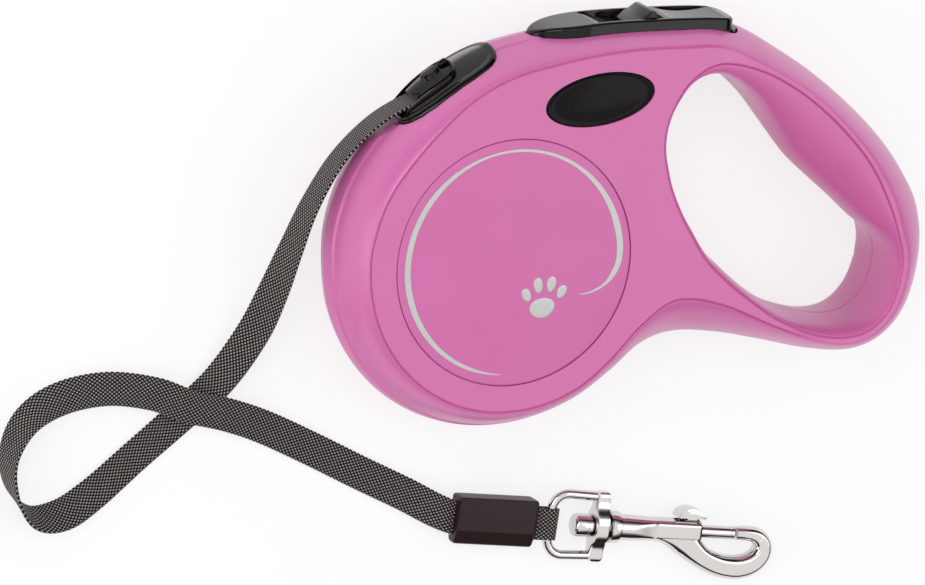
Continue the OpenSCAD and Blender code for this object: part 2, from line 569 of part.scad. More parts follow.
left_shell();
right_shell();
left_disc();
right_disc();
left_trim_ring();
right_trim_ring();
left_badge();
right_badge();
outlet_shield();
outlet_guide();
outlet_pin();
spool_axle();
case_screws();
spool_drum();
ratchet_flange();
tape_pack();
power_spring();
brake_button();
pivot_pin();
brake_pawl();
button_spring();
lock_slider();
tape_run();
tape_loop();
tape_sleeve();
swivel_ring();
snap_body();
snap_bolt();
bolt_knob();
bolt_spring();
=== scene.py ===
import bmesh
import bpy
import numpy as np
from mathutils import Matrix, Vector


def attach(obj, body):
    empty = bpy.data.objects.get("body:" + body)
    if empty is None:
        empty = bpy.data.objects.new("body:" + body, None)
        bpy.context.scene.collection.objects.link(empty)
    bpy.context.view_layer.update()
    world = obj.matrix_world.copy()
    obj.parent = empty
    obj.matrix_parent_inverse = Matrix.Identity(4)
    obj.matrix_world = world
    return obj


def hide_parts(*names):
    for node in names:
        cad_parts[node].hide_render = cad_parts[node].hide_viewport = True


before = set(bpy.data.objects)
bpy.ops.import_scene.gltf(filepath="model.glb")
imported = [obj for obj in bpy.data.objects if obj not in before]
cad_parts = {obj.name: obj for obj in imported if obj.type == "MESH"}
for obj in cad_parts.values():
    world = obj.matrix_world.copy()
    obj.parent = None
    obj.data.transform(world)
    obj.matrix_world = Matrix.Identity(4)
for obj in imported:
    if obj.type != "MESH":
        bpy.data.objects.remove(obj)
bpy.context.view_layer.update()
scene = bpy.context.scene
scene.view_settings.view_transform = "Standard"

# ---- Camera ----
# A long lens over the upper side face, so the case, the tape and the snap
# are seen almost without perspective.
AIM = Vector((-0.0142, -0.0071, 0.030))
RIGHT, UP, BACK = (0.9182, 0.0509, 0.3931), (0.0509, 0.9684, -0.2444), (-0.3931, 0.2444, 0.8866)
DISTANCE_M, LENS_MM = 6.0, 905
camera = bpy.data.objects.new("camera", bpy.data.cameras.new("camera"))
camera.data.lens = LENS_MM
camera.data.sensor_width = 36
turned_so = Matrix((RIGHT, UP, BACK)).transposed().to_4x4()
camera.matrix_world = Matrix.Translation(AIM + Vector(BACK) * DISTANCE_M) @ turned_so
scene.collection.objects.link(camera)
scene.camera = camera

# ---- Tape ----
# A 9 mm woven nylon tape, 0.8 mm thick, that leaves the outlet on edge, turns
# flat on the table, makes one open loop and runs into the sleeve.
MM = 0.001
TAPE_W, TAPE_T = 9.0, 0.8
# x, y and z in mm, and the tape's roll about its own direction in degrees
ROUTE = [
    (8.3, 39.6, 15, 90), (0, 41.4, 15, 90), (-9, 42.9, 15, 90),
    (-18, 42.9, 15, 90), (-27, 40.2, 15, 90), (-36, 34.9, 15, 90), (-44.8, 26, 15, 88),
    (-51.5, 14, 14.4, 82), (-55.5, 2, 12.8, 70), (-58.5, -10, 9.6, 52),
    (-62, -21.5, 6, 34), (-69.5, -34.5, 2.8, 18), (-80, -44.8, 1.1, 8),
    (-91, -54, 0.8, 4), (-103, -63.5, 1.6, 12), (-112, -68.2, 3, 32),
    (-120.5, -68, 4.2, 62), (-126.5, -61, 4.7, 88), (-128, -51.5, 4.6, 102),
    (-123.5, -42.5, 4, 124), (-114, -37.2, 2.9, 150), (-101, -35.2, 2.8, 168),
    (-88, -37, 3.6, 177), (-78, -40.8, 4.1, 180), (-67, -43.8, 3.4, 180),
    (-56, -48, 1.8, 180),
    (-42, -54.8, 0.7, 180), (-28, -62, 0.6, 180), (-15, -68.4, 1.4, 180),
    (-6, -73.1, 3.3, 180), (0.5, -75.3, 4.3, 180), (10, -76.25, 4.3, 180)]


def open_spline(points, steps):
    """A smooth line through the points: each stretch blends its two ends and
    their neighbours by the cubic Catmull-Rom weights, in equal steps."""
    p = np.asarray(points, float)
    k = np.arange((len(p) - 1) * steps + 1)
    i = np.minimum(k // steps, len(p) - 2)
    t = (k / steps - i)[:, None]
    a, b, c, d = p[np.maximum(i - 1, 0)], p[i], p[i + 1], p[np.minimum(i + 2, len(p) - 1)]
    return 0.5 * (2 * b + (c - a) * t + (2 * a - 5 * b + 4 * c - d) * t ** 2 + (3 * b - a - 3 * c + d) * t ** 3)


def even_steps(line, step):
    """The same line with its points a given distance apart: each column is
    read off at equal arc lengths. The first three columns are x, y and z."""
    s = np.concatenate([[0], np.cumsum(np.linalg.norm(np.diff(line[:, :3], axis=0), axis=1))])
    at = np.linspace(0, s[-1], int(s[-1] / step) + 1)
    return np.stack([np.interp(at, s, line[:, j]) for j in range(line.shape[1])], 1), at


def grid_faces(rows, cols, wrap_rows, wrap_cols, start):
    """Quads from each grid point to its next row and next column."""
    r = np.arange(rows if wrap_rows else rows - 1)[:, None]
    c = np.arange(cols if wrap_cols else cols - 1)[None, :]
    r2, c2 = (r + 1) % rows, (c + 1) % cols
    return (start + np.stack([r * cols + c, r2 * cols + c, r2 * cols + c2, r * cols + c2], -1)).reshape(-1, 4).tolist()


def solid(name, *grids, caps=True, ring=False, sharp=38, uv=None):
    """One closed mesh from grids of points in mm. Each grid's columns close on
    themselves; its first and last rows are closed by a fan to their middle,
    or joined to each other when it is a ring. Doubles are merged and the
    faces are turned outwards."""
    points, faces = [], []
    for g in grids:
        rows, cols = g.shape[:2]
        start = sum(len(p) for p in points)
        points.append(g.reshape(-1, 3))
        faces += grid_faces(rows, cols, ring, True, start)
        if caps and not ring:
            for row in (0, rows - 1):
                mid = sum(len(p) for p in points)
                points.append(g[row].mean(0)[None])
                a = start + row * cols + np.arange(cols)
                b = np.roll(a, -1)
                fan = np.stack([a, b, np.full(cols, mid)], 1)
                faces += (fan if row == 0 else fan[:, ::-1]).tolist()
    mesh = bpy.data.meshes.new(name)
    mesh.from_pydata((np.concatenate(points) * MM).tolist(), [], faces)
    if uv is not None:
        flat = np.zeros((len(mesh.vertices), 2))
        flat[:uv.reshape(-1, 2).shape[0]] = uv.reshape(-1, 2)
        corner = np.empty(len(mesh.loops), np.int64)
        mesh.loops.foreach_get("vertex_index", corner)
        mesh.uv_layers.new(name="along_tape").data.foreach_set("uv", flat[corner].ravel())
    work = bmesh.new()
    work.from_mesh(mesh)
    bmesh.ops.remove_doubles(work, verts=work.verts, dist=2e-6)
    if work.calc_volume(signed=True) < 0:
        bmesh.ops.reverse_faces(work, faces=work.faces)
    work.to_mesh(mesh)
    work.free()
    mesh.polygons.foreach_set("use_smooth", np.ones(len(mesh.polygons), bool))
    mesh.set_sharp_from_angle(angle=np.radians(sharp))
    piece = bpy.data.objects.new(name, mesh)
    scene.collection.objects.link(piece)
    return piece


def colour(text):
    """An sRGB hex value as linear red, green and blue, with an alpha of 1."""
    c = np.array([int(text[i:i + 2], 16) for i in (1, 3, 5)]) / 255
    return (*np.where(c <= 0.04045, c / 12.92, ((c + 0.055) / 1.055) ** 2.4).tolist(), 1.0)


def add(tree, kind, settings=None, links=None):
    """Adds one shader node. A setting is an attribute or an unlinked input;
    a link is an input and the output that feeds it."""
    made = tree.nodes.new("ShaderNode" + kind)
    for key, value in (settings or {}).items():
        if isinstance(key, str) and hasattr(made, key):
            setattr(made, key, value)
        else:
            made.inputs[key].default_value = value
    for key, source in (links or {}).items():
        tree.links.new(source, made.inputs[key])
    return made


def material(name, base, roughness, **sockets):
    """A material with its plain values set on the shader's own sockets."""
    made = bpy.data.materials.new(name)
    made.use_nodes = True
    skin = made.node_tree.nodes["Principled BSDF"]
    skin.inputs["Base Color"].default_value = colour(base)
    skin.inputs["Roughness"].default_value = roughness
    for key, value in sockets.items():
        skin.inputs[key.replace("_", " ")].default_value = value
    return made, made.node_tree, skin


# Woven nylon: a matt black tape with one weave crossing every 0.56 mm. The crests of the crossings carry painted
# highlights, pale grey dots in the base colour, so the eye reads rows of light dots along the tape.
WEAVE = 0.56
nylon, t, skin = material("woven_nylon_tape", "#1B1718", 0.68)
skin.inputs["Specular IOR Level"].default_value = 0.25
skin.inputs["Sheen Weight"].default_value = 0.05
skin.inputs["Sheen Roughness"].default_value = 0.4
run = add(t, "UVMap", {"uv_map": "along_tape"})
axes = add(t, "SeparateXYZ", links={"Vector": run.outputs["UV"]})
waves = []
for axis, pitch in (("X", 2.3 * WEAVE), ("Y", 1.8 * WEAVE)):
    turn = add(t, "Math", {"operation": "MULTIPLY", 1: 2 * np.pi / pitch}, {0: axes.outputs[axis]})
    waves.append(add(t, "Math", {"operation": "SINE"}, {0: turn.outputs[0]}))
cross = add(t, "Math", {"operation": "MULTIPLY"}, {0: waves[0].outputs[0], 1: waves[1].outputs[0]})
# noise that breaks up the painted highlight dots
glint_noise = add(t, "TexNoise", {"Scale": 900.0, "Detail": 2.0}, {"Vector": add(t, "TexCoord").outputs["Object"]})
height = add(t, "Math", {"operation": "MULTIPLY_ADD", 1: 0.35}, {0: glint_noise.outputs["Fac"], 2: cross.outputs[0]})
weave_glint_mask = add(t, "MapRange", {"From Min": 0.3, "From Max": 0.85}, {"Value": height.outputs[0]})
# painted highlight: the weave's crests are painted pale grey over the black
painted_weave_glint = add(t, "Mix", {"data_type": "RGBA", 6: colour("#0E0A0B"), 7: colour("#A59C96")}, {0: weave_glint_mask.outputs[0]})
t.links.new(painted_weave_glint.outputs[2], skin.inputs["Base Color"])
relief = add(t, "Bump", {"Strength": 0.5, "Distance": 0.0002}, {"Height": cross.outputs[0]})
t.links.new(relief.outputs[0], skin.inputs["Normal"])


def tape_band(line, run_mm, half_w, half_t):
    """A flat band along a line: at each step the section is a thin bar with
    round edges, its width turned by the roll about the line's direction. The
    half width swells and shrinks by the weave's edge loops."""
    xyz, roll = line[:, :3], np.radians(line[:, 3])
    step = np.gradient(xyz, axis=0)
    go = step / np.linalg.norm(step, axis=1)[:, None]
    level = np.stack([-go[:, 1], go[:, 0], 0 * go[:, 0]], 1)
    level /= np.linalg.norm(level, axis=1)[:, None]
    rise = np.cross(go, level)
    wide = np.cos(roll)[:, None] * level + np.sin(roll)[:, None] * rise
    deep = np.cross(go, wide)
    v = np.array([-1, -0.98, -0.95, -0.9, -0.5, 0, 0.5, 0.9, 0.95, 0.98])
    across = np.concatenate([v, -v])
    thick = np.sqrt(1 - np.clip((np.abs(across) - 0.9) / 0.1, 0, 1) ** 2) * np.repeat([1, -1], len(v))
    edge = half_w - 0.07 + 0.07 * np.sin(2 * np.pi * run_mm / (2.3 * WEAVE))
    w = edge[:, None] * across
    points = xyz[:, None] + wide[:, None] * w[..., None] + deep[:, None] * (half_t * thick)[None, :, None]
    return points, np.stack([np.broadcast_to(run_mm[:, None], w.shape), w], -1)


line, tape_run_mm = even_steps(open_spline(ROUTE, 40), 0.32)
points, tape_uv = tape_band(line, tape_run_mm, TAPE_W / 2, TAPE_T / 2)
tape = solid("woven_tape", points, uv=tape_uv)
tape.data.materials.append(nylon)
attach(tape, "case")
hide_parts("tape_run")

# ---- Tape loop and sleeve ----
# The tape's end folds round the ring's bar and comes back on itself. The
# moulded brown rubber sleeve covers the sewn end, with one sloping long edge.
TURN = np.radians(-6)


def at_end(points):
    """Points in the snap's own axes, s along it, turned and moved into place:
    x and y turn by minus six degrees, then the end's origin is added."""
    s, y, z = np.moveaxis(np.asarray(points, float), -1, 0)
    return np.stack([34.4 + s * np.cos(TURN) - y * np.sin(TURN), -78.8 + s * np.sin(TURN) + y * np.cos(TURN), 4.3 + z], -1)


fold = np.radians(np.linspace(90, -90, 25))
outer = np.concatenate([[(-24, 0.86), (-18, 0.9), (-13.4, 1.3), (-10.8, 2.0)],
                        np.stack([-9 + 2.15 * np.cos(fold), 2.15 * np.sin(fold)], 1),
                        [(-10.8, -2.0), (-13.4, -1.3), (-18, -0.9), (-24, -0.86)]])
inner = np.concatenate([[(-24, 0.06), (-18, 0.08), (-13.4, 0.45), (-10.6, 1.18)],
                        np.stack([-9 + 1.35 * np.cos(fold), 1.35 * np.sin(fold)], 1),
                        [(-10.6, -1.18), (-13.4, -0.45), (-18, -0.08), (-24, -0.06)]])
outer, inner = even_steps(np.insert(outer, 1, 0, 1), 0.4), even_steps(np.insert(inner, 1, 0, 1), 0.4)
rows = min(len(outer[0]), 90)
take = [np.stack([np.interp(np.linspace(0, b[-1], rows), b, a[:, j]) for j in range(3)], 1) for a, b in (outer, inner)]
half = 4.5 - 0.35 * np.exp(-((take[0][:, 0] + 9) / 4) ** 2)
v = np.array([-1, -0.97, -0.5, 0, 0.5, 0.97])
across = np.concatenate([v, -v])
mix = np.array([0.5, 0, 0, 0, 0, 0, 0.5, 1, 1, 1, 1, 1])
body = take[0][:, None] * (1 - mix)[None, :, None] + take[1][:, None] * mix[None, :, None]
body[..., 1] = half[:, None] * across[None]
loop_uv = np.stack([np.broadcast_to(np.arange(rows)[:, None] * 0.42, body.shape[:2]), body[..., 1]], -1)
loop = solid("tape_fold", at_end(body), uv=loop_uv)
loop.data.materials.append(nylon)
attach(loop, "case")
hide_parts("tape_loop")


def rounded(corners, radius, steps=6):
    """A closed outline with each corner rounded: the corner point is replaced
    by a parabola between two points set back along its sides."""
    p = np.asarray(corners, float)
    before, after = np.roll(p, 1, 0), np.roll(p, -1, 0)
    radius = np.broadcast_to(radius, len(p))[:, None]
    a = p + (before - p) / np.linalg.norm(before - p, axis=1)[:, None] * radius
    b = p + (after - p) / np.linalg.norm(after - p, axis=1)[:, None] * radius
    q = np.linspace(0, 1, steps + 1)[None, :, None]
    return ((1 - q) ** 2 * a[:, None] + 2 * q * (1 - q) * p[:, None] + q ** 2 * b[:, None]).reshape(-1, 2)


section = rounded([(6.4, 3.0), (-1.9, 3.0), (-2.4, 3.25), (-2.9, 2.95), (-6.4, 1.7), (-6.4, -1.7), (-2.9, -2.95),
                   (-2.4, -3.25), (-1.9, -3.0), (6.4, -3.0)], [0.6, 0.2, 0.2, 0.2, 0.9, 0.9, 0.2, 0.2, 0.2, 0.6])
# place along the tape, and the section's share of its full size there
ends = np.array([(-36.4, 0.86), (-36.3, 0.94), (-35.9, 0.99), (-35.2, 1),
                 (-15, 1), (-14.3, 0.99), (-14.0, 0.94), (-13.9, 0.86)])
grid = np.stack([np.broadcast_to(ends[:, 0, None], (len(ends), len(section))),
                 ends[:, 1, None] * section[None, :, 0], ends[:, 1, None] * section[None, :, 1]], -1)
sleeve = solid("rubber_sleeve", at_end(grid), sharp=30)
# Moulded soft rubber: brown-black, satin, with a faint pebble of 0.3 mm.
rubber, t, skin = material("moulded_brown_rubber", "#241011", 0.38, Specular_IOR_Level=0.3)
grain = add(t, "TexNoise", {"Scale": 3200.0, "Detail": 2.0}, {"Vector": add(t, "TexCoord").outputs["Object"]})
rough = add(t, "MapRange", {"To Min": 0.32, "To Max": 0.46}, {"Value": grain.outputs["Fac"]})
t.links.new(rough.outputs[0], skin.inputs["Roughness"])
relief = add(t, "Bump", {"Strength": 0.08, "Distance": 0.0001}, {"Height": grain.outputs["Fac"]})
t.links.new(relief.outputs[0], skin.inputs["Normal"])
sleeve.data.materials.append(rubber)
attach(sleeve, "case")
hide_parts("tape_sleeve")

# ---- Swivel ring ----
# A D of round wire whose straight side is a wide faced bar, bored for the
# snap's post. Cast zinc, polished and plated.


def sweep(path, half_w, half_t, clip=1.0, sides=32):
    """A section carried along a path in one plane: an ellipse of the given
    half sizes whose height is stretched by the clip and cut off flat, so a
    clip above 1 gives flat faces with round sides."""
    p = np.asarray(path, float)
    go = np.gradient(p, axis=0)
    go /= np.linalg.norm(go, axis=1)[:, None]
    side = np.cross([0, 0, 1.0], go)
    a = np.linspace(0, 2 * np.pi, sides, endpoint=False) + np.pi / sides
    half_w, half_t, clip = (np.broadcast_to(x, len(p))[:, None] for x in (half_w, half_t, clip))
    w = half_w * np.cos(a)
    z = np.clip(half_t * clip * np.sin(a), -half_t, half_t)
    return p[:, None] + side[:, None] * w[..., None] + np.array([0, 0, 1.0]) * z[..., None]


def spin(profile, sides=64):
    """A profile of (distance along s, radius) turned round the s axis."""
    p = np.asarray(profile, float)
    a = np.linspace(0, 2 * np.pi, sides, endpoint=False)
    return np.stack([np.broadcast_to(p[:, :1], (len(p), sides)), p[:, 1:] * np.cos(a), p[:, 1:] * np.sin(a)], -1)


def carve(piece, *cutters, keep=False):
    """Takes the cutters out of a piece, or adds them to it when keep is set,
    and leaves the result as the piece's own mesh."""
    for cutter in cutters:
        cut = piece.modifiers.new("cut", "BOOLEAN")
        cut.operation = "UNION" if keep else "DIFFERENCE"
        cut.solver = "MANIFOLD"
        cut.object = cutter
    bpy.context.view_layer.update()
    old = piece.data
    made = bpy.data.meshes.new_from_object(piece.evaluated_get(bpy.context.evaluated_depsgraph_get()))
    piece.modifiers.clear()
    piece.data = made
    made.name = piece.name
    made.materials.clear()
    bpy.data.meshes.remove(old)
    for cutter in cutters:
        bpy.data.objects.remove(cutter)
    made.polygons.foreach_set("use_smooth", np.ones(len(made.polygons), bool))
    made.set_sharp_from_angle(angle=np.radians(34))


# Polished plating: mirror smooth, a little milky, with hair scuffs 0.1 mm wide
# that only change the gloss.
chrome, t, skin = material("polished_nickel_chrome", "#DAD6D4", 0.06, Metallic=1.0)
where = add(t, "TexCoord")
stretch = add(t, "Mapping", {"Scale": (300, 2600, 2600)}, {"Vector": where.outputs["Object"]})
scuff = add(t, "TexNoise", {"Scale": 1.0, "Detail": 3.0}, {"Vector": stretch.outputs[0]})
rough = add(t, "MapRange", {"From Min": 0.45, "From Max": 0.75, "To Min": 0.04, "To Max": 0.12},
            {"Value": scuff.outputs["Fac"]})
t.links.new(rough.outputs[0], skin.inputs["Roughness"])
dent = add(t, "TexNoise", {"Scale": 160.0, "Detail": 1.0}, {"Vector": where.outputs["Object"]})
relief = add(t, "Bump", {"Strength": 0.12, "Distance": 0.0004}, {"Height": dent.outputs["Fac"]})
t.links.new(relief.outputs[0], skin.inputs["Normal"])

a = np.radians(np.linspace(0, 90, 10))
half_d = np.concatenate([[(4.9, 7.9)], np.stack([-4.6 - 4.4 * np.sin(a), 3.8 + 4.4 * np.cos(a)], 1), [(-9, 1.5)]])
d_path = np.concatenate([half_d, half_d[::-1] * [1, -1]])
d_path = even_steps(np.insert(d_path, 2, 0, 1), 0.35)[0]
bar_y = np.linspace(-9.3, 9.3, 45)
tall = 1.75 + 2.15 * np.exp(-(bar_y / 4.3) ** 4)
long = 2.3 * (1 - 0.1 * (np.abs(bar_y) / 9.3) ** 8)
shut = np.maximum(np.clip((9.3 - np.abs(bar_y)) / 0.5, 0.0, 1) ** 0.5, 0.75)
bar = sweep(np.stack([5 + 0 * bar_y, bar_y, 0 * bar_y], 1), long * shut, tall * shut, 1.5, 40)
ring = solid("d_ring", at_end(sweep(d_path, 1.3, 1.3, 1.0, 28)), sharp=50)
carve(ring, solid("bar", at_end(bar)), keep=True)
carve(ring, solid("bore", at_end(spin([(1.5, 2.36), (9.5, 2.36)]))))
ring.data.materials.append(chrome)
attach(ring, "ring")
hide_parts("swivel_ring")

# ---- Snap ----
# The cast body: a headed post through the ring, a collar, a barrel for the
# bolt, and a flat-faced hook that curls round to meet the bolt.
post = solid("snap_post", at_end(spin([
    (-2.4, 0), (-2.4, 2.2), (-2.2, 2.7), (-1.8, 3.0), (-1.2, 3.1), (0.9, 3.1), (1.0, 2.95), (1.2, 2.95), (1.3, 3.1),
    (2.2, 3.1), (2.5, 2.8), (2.55, 2.2), (7.6, 2.2), (7.6, 3.9), (7.8, 4.2), (8.1, 4.3), (9.8, 4.3),
    (10.2, 4.2), (10.4, 3.9), (10.4, 3.45), (14, 3.45), (14, 0)])), sharp=50)
s = np.linspace(10.2, 34, 50)
grow = np.clip((s - 13) / 9, 0, 1)
grow = grow * grow * (3 - 2 * grow)
end = np.sqrt(np.clip((34.02 - s) / 0.5, 0, 1)) * 0.12 + 0.88
barrel = sweep(np.stack([s, 0 * s, 0 * s], 1), (3.45 - 0.25 * grow) * end, (3.45 - 0.85 * grow) * end,
               1 + 0.22 * grow, 48)
# the hook's middle line in the snap's own axes, with its half width
HOOK = [(21, -0.4, 0, 2.4), (24, -0.8, 0, 2.9), (27, -1.5, 0, 3.5), (30.3, -2.9, 0, 4.0), (32.8, -4.9, 0, 3.45),
        (35.6, -6.8, 0, 3.05), (38.9, -8.2, 0, 3.05), (42.3, -9.0, 0, 3.15), (46.2, -9.1, 0, 3.25), (49.6, -8.1, 0, 3.2),
        (51.9, -6.2, 0, 3.0), (52.8, -3.9, 0, 2.75), (52.2, -1.7, 0, 2.45), (50.3, -0.3, 0, 2.15), (47.6, 0.1, 0, 1.95),
        (44.6, 0, 0, 1.8)]
hook_line = even_steps(open_spline(HOOK, 12), 0.4)[0]
q = np.linspace(0, 1, len(hook_line))
hook_t = np.interp(q, [0, 0.12, 0.3, 0.6, 0.85, 0.97, 1], [2.45, 2.58, 2.6, 2.55, 2.35, 2.0, 1.8])
hook_clip = np.interp(q, [0, 0.75, 0.95, 1], [1.2, 1.2, 1.06, 1.0])
hook = sweep(hook_line[:, :3], hook_line[:, 3], hook_t, hook_clip, 56)
snap = solid("snap_hook", at_end(barrel), sharp=34)
carve(snap, solid("hook", at_end(hook)), post, keep=True)
slot_cut = rounded([(26.2, 0), (33.4, 0), (33.4, 6), (26.2, 6)], 0.8)
SLOT_HALF = 1.15
slot_z = np.array([[-SLOT_HALF], [SLOT_HALF]])
grid = np.stack(np.broadcast_arrays(slot_cut[None, :, 0], slot_cut[None, :, 1], slot_z), -1)
carve(snap, solid("bolt_bore", at_end(spin([(12.6, 1.85), (36, 1.85)]))), solid("knob_slot", at_end(grid)))
snap.data.materials.append(chrome)
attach(snap, "snap")
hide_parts("snap_body")

# ---- Bolt and thumb knob ----
# A turned steel bolt with a chamfered end, and the half-round thumb knob cast
# on a stem that stands out of the barrel's slot.
bolt = solid("bolt_rod", at_end(spin([
    (27.4, 0), (27.4, 1.4), (27.7, 1.7), (42.6, 1.7), (42.7, 1.55), (42.9, 1.55), (43.0, 1.7), (43.8, 1.7),
    (44.1, 1.45), (44.1, 0)], 48)), sharp=30)
bolt.data.materials.append(chrome)
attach(bolt, "bolt")
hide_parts("snap_bolt")

rim_line = open_spline([(26.6, 3.75), (27.0, 5.0), (28.4, 6.1), (30.6, 6.5),
                        (32.8, 6.1), (34.4, 5.1), (34.9, 4.2), (34.6, 3.75)], 6)
z = np.array([-2.5, -2.42, -2.1, -1.5, 0, 1.5, 2.1, 2.42, 2.5])
inset = 1 - np.array([0.16, 0.07, 0.02, 0, 0, 0, 0.02, 0.07, 0.16])
mid = np.array([30.7, 3.75])
knob_xy = mid + (rim_line - mid)[None] * inset[:, None, None]
knob_z = np.broadcast_to(z[:, None, None], (*knob_xy.shape[:2], 1))
knob_grid = np.concatenate([knob_xy, knob_z], -1)
stem = np.stack(np.broadcast_arrays(np.array([30, 30, 32.8, 32.8])[None], np.array([0.8, 4.4, 4.4, 0.8])[None],
                                    np.array([-0.9, 0.9])[:, None]), -1)
knob = solid("thumb_knob", at_end(knob_grid), at_end(stem), sharp=34)
knob.data.materials.append(chrome)
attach(knob, "bolt")
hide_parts("bolt_knob")

# ---- Case halves ----
# Two mirrored ABS mouldings that meet on the parting line. Each rim starts
# upright there and rolls over to a flat side face edged by a fine groove.
# Each row holds one station's seam, face, brow and mouth points in x and y:
# the outside, the flat face's two edges, and the wall of the hand opening.
STATIONS = [
    [[121, -5], [112, -6], [110.8, -6], [108.7, -7]],
    [[120, 6], [110, 2], [109, 2], [107, -1]],
    [[115.5, 15], [107, 11], [105.8, 10.5], [101, 4]],
    [[108.5, 24.5], [101, 21.5], [100, 21], [95, 9.5]],
    [[99, 34], [92.5, 31.5], [91.5, 30.8], [88, 15.5]],
    [[88, 43], [82.5, 40.5], [81.5, 39.5], [82, 21]],
    [[77, 50.3], [73, 46.5], [72, 45.5], [76.5, 28]],
    [[67, 56], [65, 50.5], [64.5, 48.6], [71.5, 35]],
    [[57, 58.8], [56.5, 54.5], [57.5, 50], [66.5, 40.5]],
    [[45, 59.2], [45, 55], [53, 49.3], [61.5, 44.5]],
    [[32, 59.2], [33, 55], [49.5, 47.3], [56, 46]],
    [[19, 58.6], [21, 54], [46.5, 44.5], [51, 44.8]],
    [[7, 57.2], [9, 52], [44.3, 41], [47.5, 41.5]],
    [[-5, 54.3], [-3, 49], [42.8, 38], [45.2, 38]],
    [[-16, 48.8], [-13.5, 43.5], [41.8, 35], [43.9, 34.5]],
    [[-26.5, 41.2], [-22, 36], [41.2, 32], [43.4, 31.5]],
    [[-36, 32.3], [-30, 27], [41.1, 29], [43.2, 28.7]],
    [[-43, 21.5], [-36, 18], [41.3, 26.5], [43.4, 26.2]],
    [[-46.8, 9], [-39.4, 7], [41.8, 24], [43.9, 23.7]],
    [[-46.9, -3], [-39.9, -2.5], [42.4, 21.5], [44.5, 21.3]],
    [[-44.5, -15.2], [-37.8, -13], [43.2, 18.5], [45.3, 18.8]],
    [[-38.5, -27], [-32.7, -23], [44.2, 15.8], [46.3, 16.2]],
    [[-29.5, -36.6], [-25, -31.2], [45.3, 13.2], [47.4, 13.8]],
    [[-18, -43.4], [-15.3, -37], [46.6, 10.6], [48.6, 11.3]],
    [[-5, -46.7], [-4.3, -39.8], [48, 8], [50, 8.9]],
    [[9, -46.1], [8, -39.2], [50, 4.8], [52, 5.8]],
    [[22, -41.6], [19.5, -35], [52.3, 1], [54.3, 2.2]],
    [[33, -34.5], [29, -27.5], [55.2, -3], [57.2, -1.6]],
    [[42, -27.6], [37.5, -18.5], [58.8, -6.5], [60.8, -4.8]],
    [[52, -24.6], [47, -12.5], [63, -10.2], [65, -8.6]],
    [[64, -25.4], [60, -14.6], [68.5, -14.3], [71.5, -13.8]],
    [[77, -28], [75.5, -21.3], [76.5, -19.6], [79, -18.3]],
    [[90, -30.9], [87.5, -25.5], [87, -24], [87.5, -21]],
    [[102, -31.5], [97, -26.6], [96.5, -25], [95, -22]],
    [[111.5, -27.3], [104.5, -23.8], [103.6, -22.6], [101.8, -20.4]],
    [[118, -18.5], [110, -16.6], [108.8, -16], [106.7, -15]]]
HALF = 15.0
SUB = 10
OUTER_Q, INNER_Q = 1.4, 1.8
GROOVE_W, GROOVE_IN = 0.24, 0.6


def closed_line(points, steps):
    """A smooth closed line through the points, by the same cubic weights."""
    p = np.asarray(points, float)
    n = len(p)
    return open_spline(np.concatenate([p[-2:], p, p[:3]]), steps)[2 * steps:(2 + n) * steps]


seam, face, brow, mouth = (closed_line([s[j] for s in STATIONS], SUB) for j in range(4))
station = np.arange(len(seam)) / SUB
# The inner lines lag two stations at the neck, so that no line across folds.
NECK = 28
lag = station - 2 * np.exp(-((station - NECK) / np.where(station < NECK, 3.5, 2.0)) ** 2)
brow, mouth = (np.stack([np.interp(lag, station, line[:, j]) for j in (0, 1)], 1) for line in (brow, mouth))


def roll_over(h, q):
    """How far the rim has rolled inwards at a height from 0 to 1: one minus
    the q-th root of what is left of the height's q-th power."""
    return 1 - (1 - np.clip(h, 0, 1) ** q) ** (1 / q)


def fade(x, a, b):
    """A smooth step from 0 at a to 1 at b."""
    x = np.clip((np.asarray(x, float) - a) / (b - a), 0, 1)
    return x * x * (3 - 2 * x)


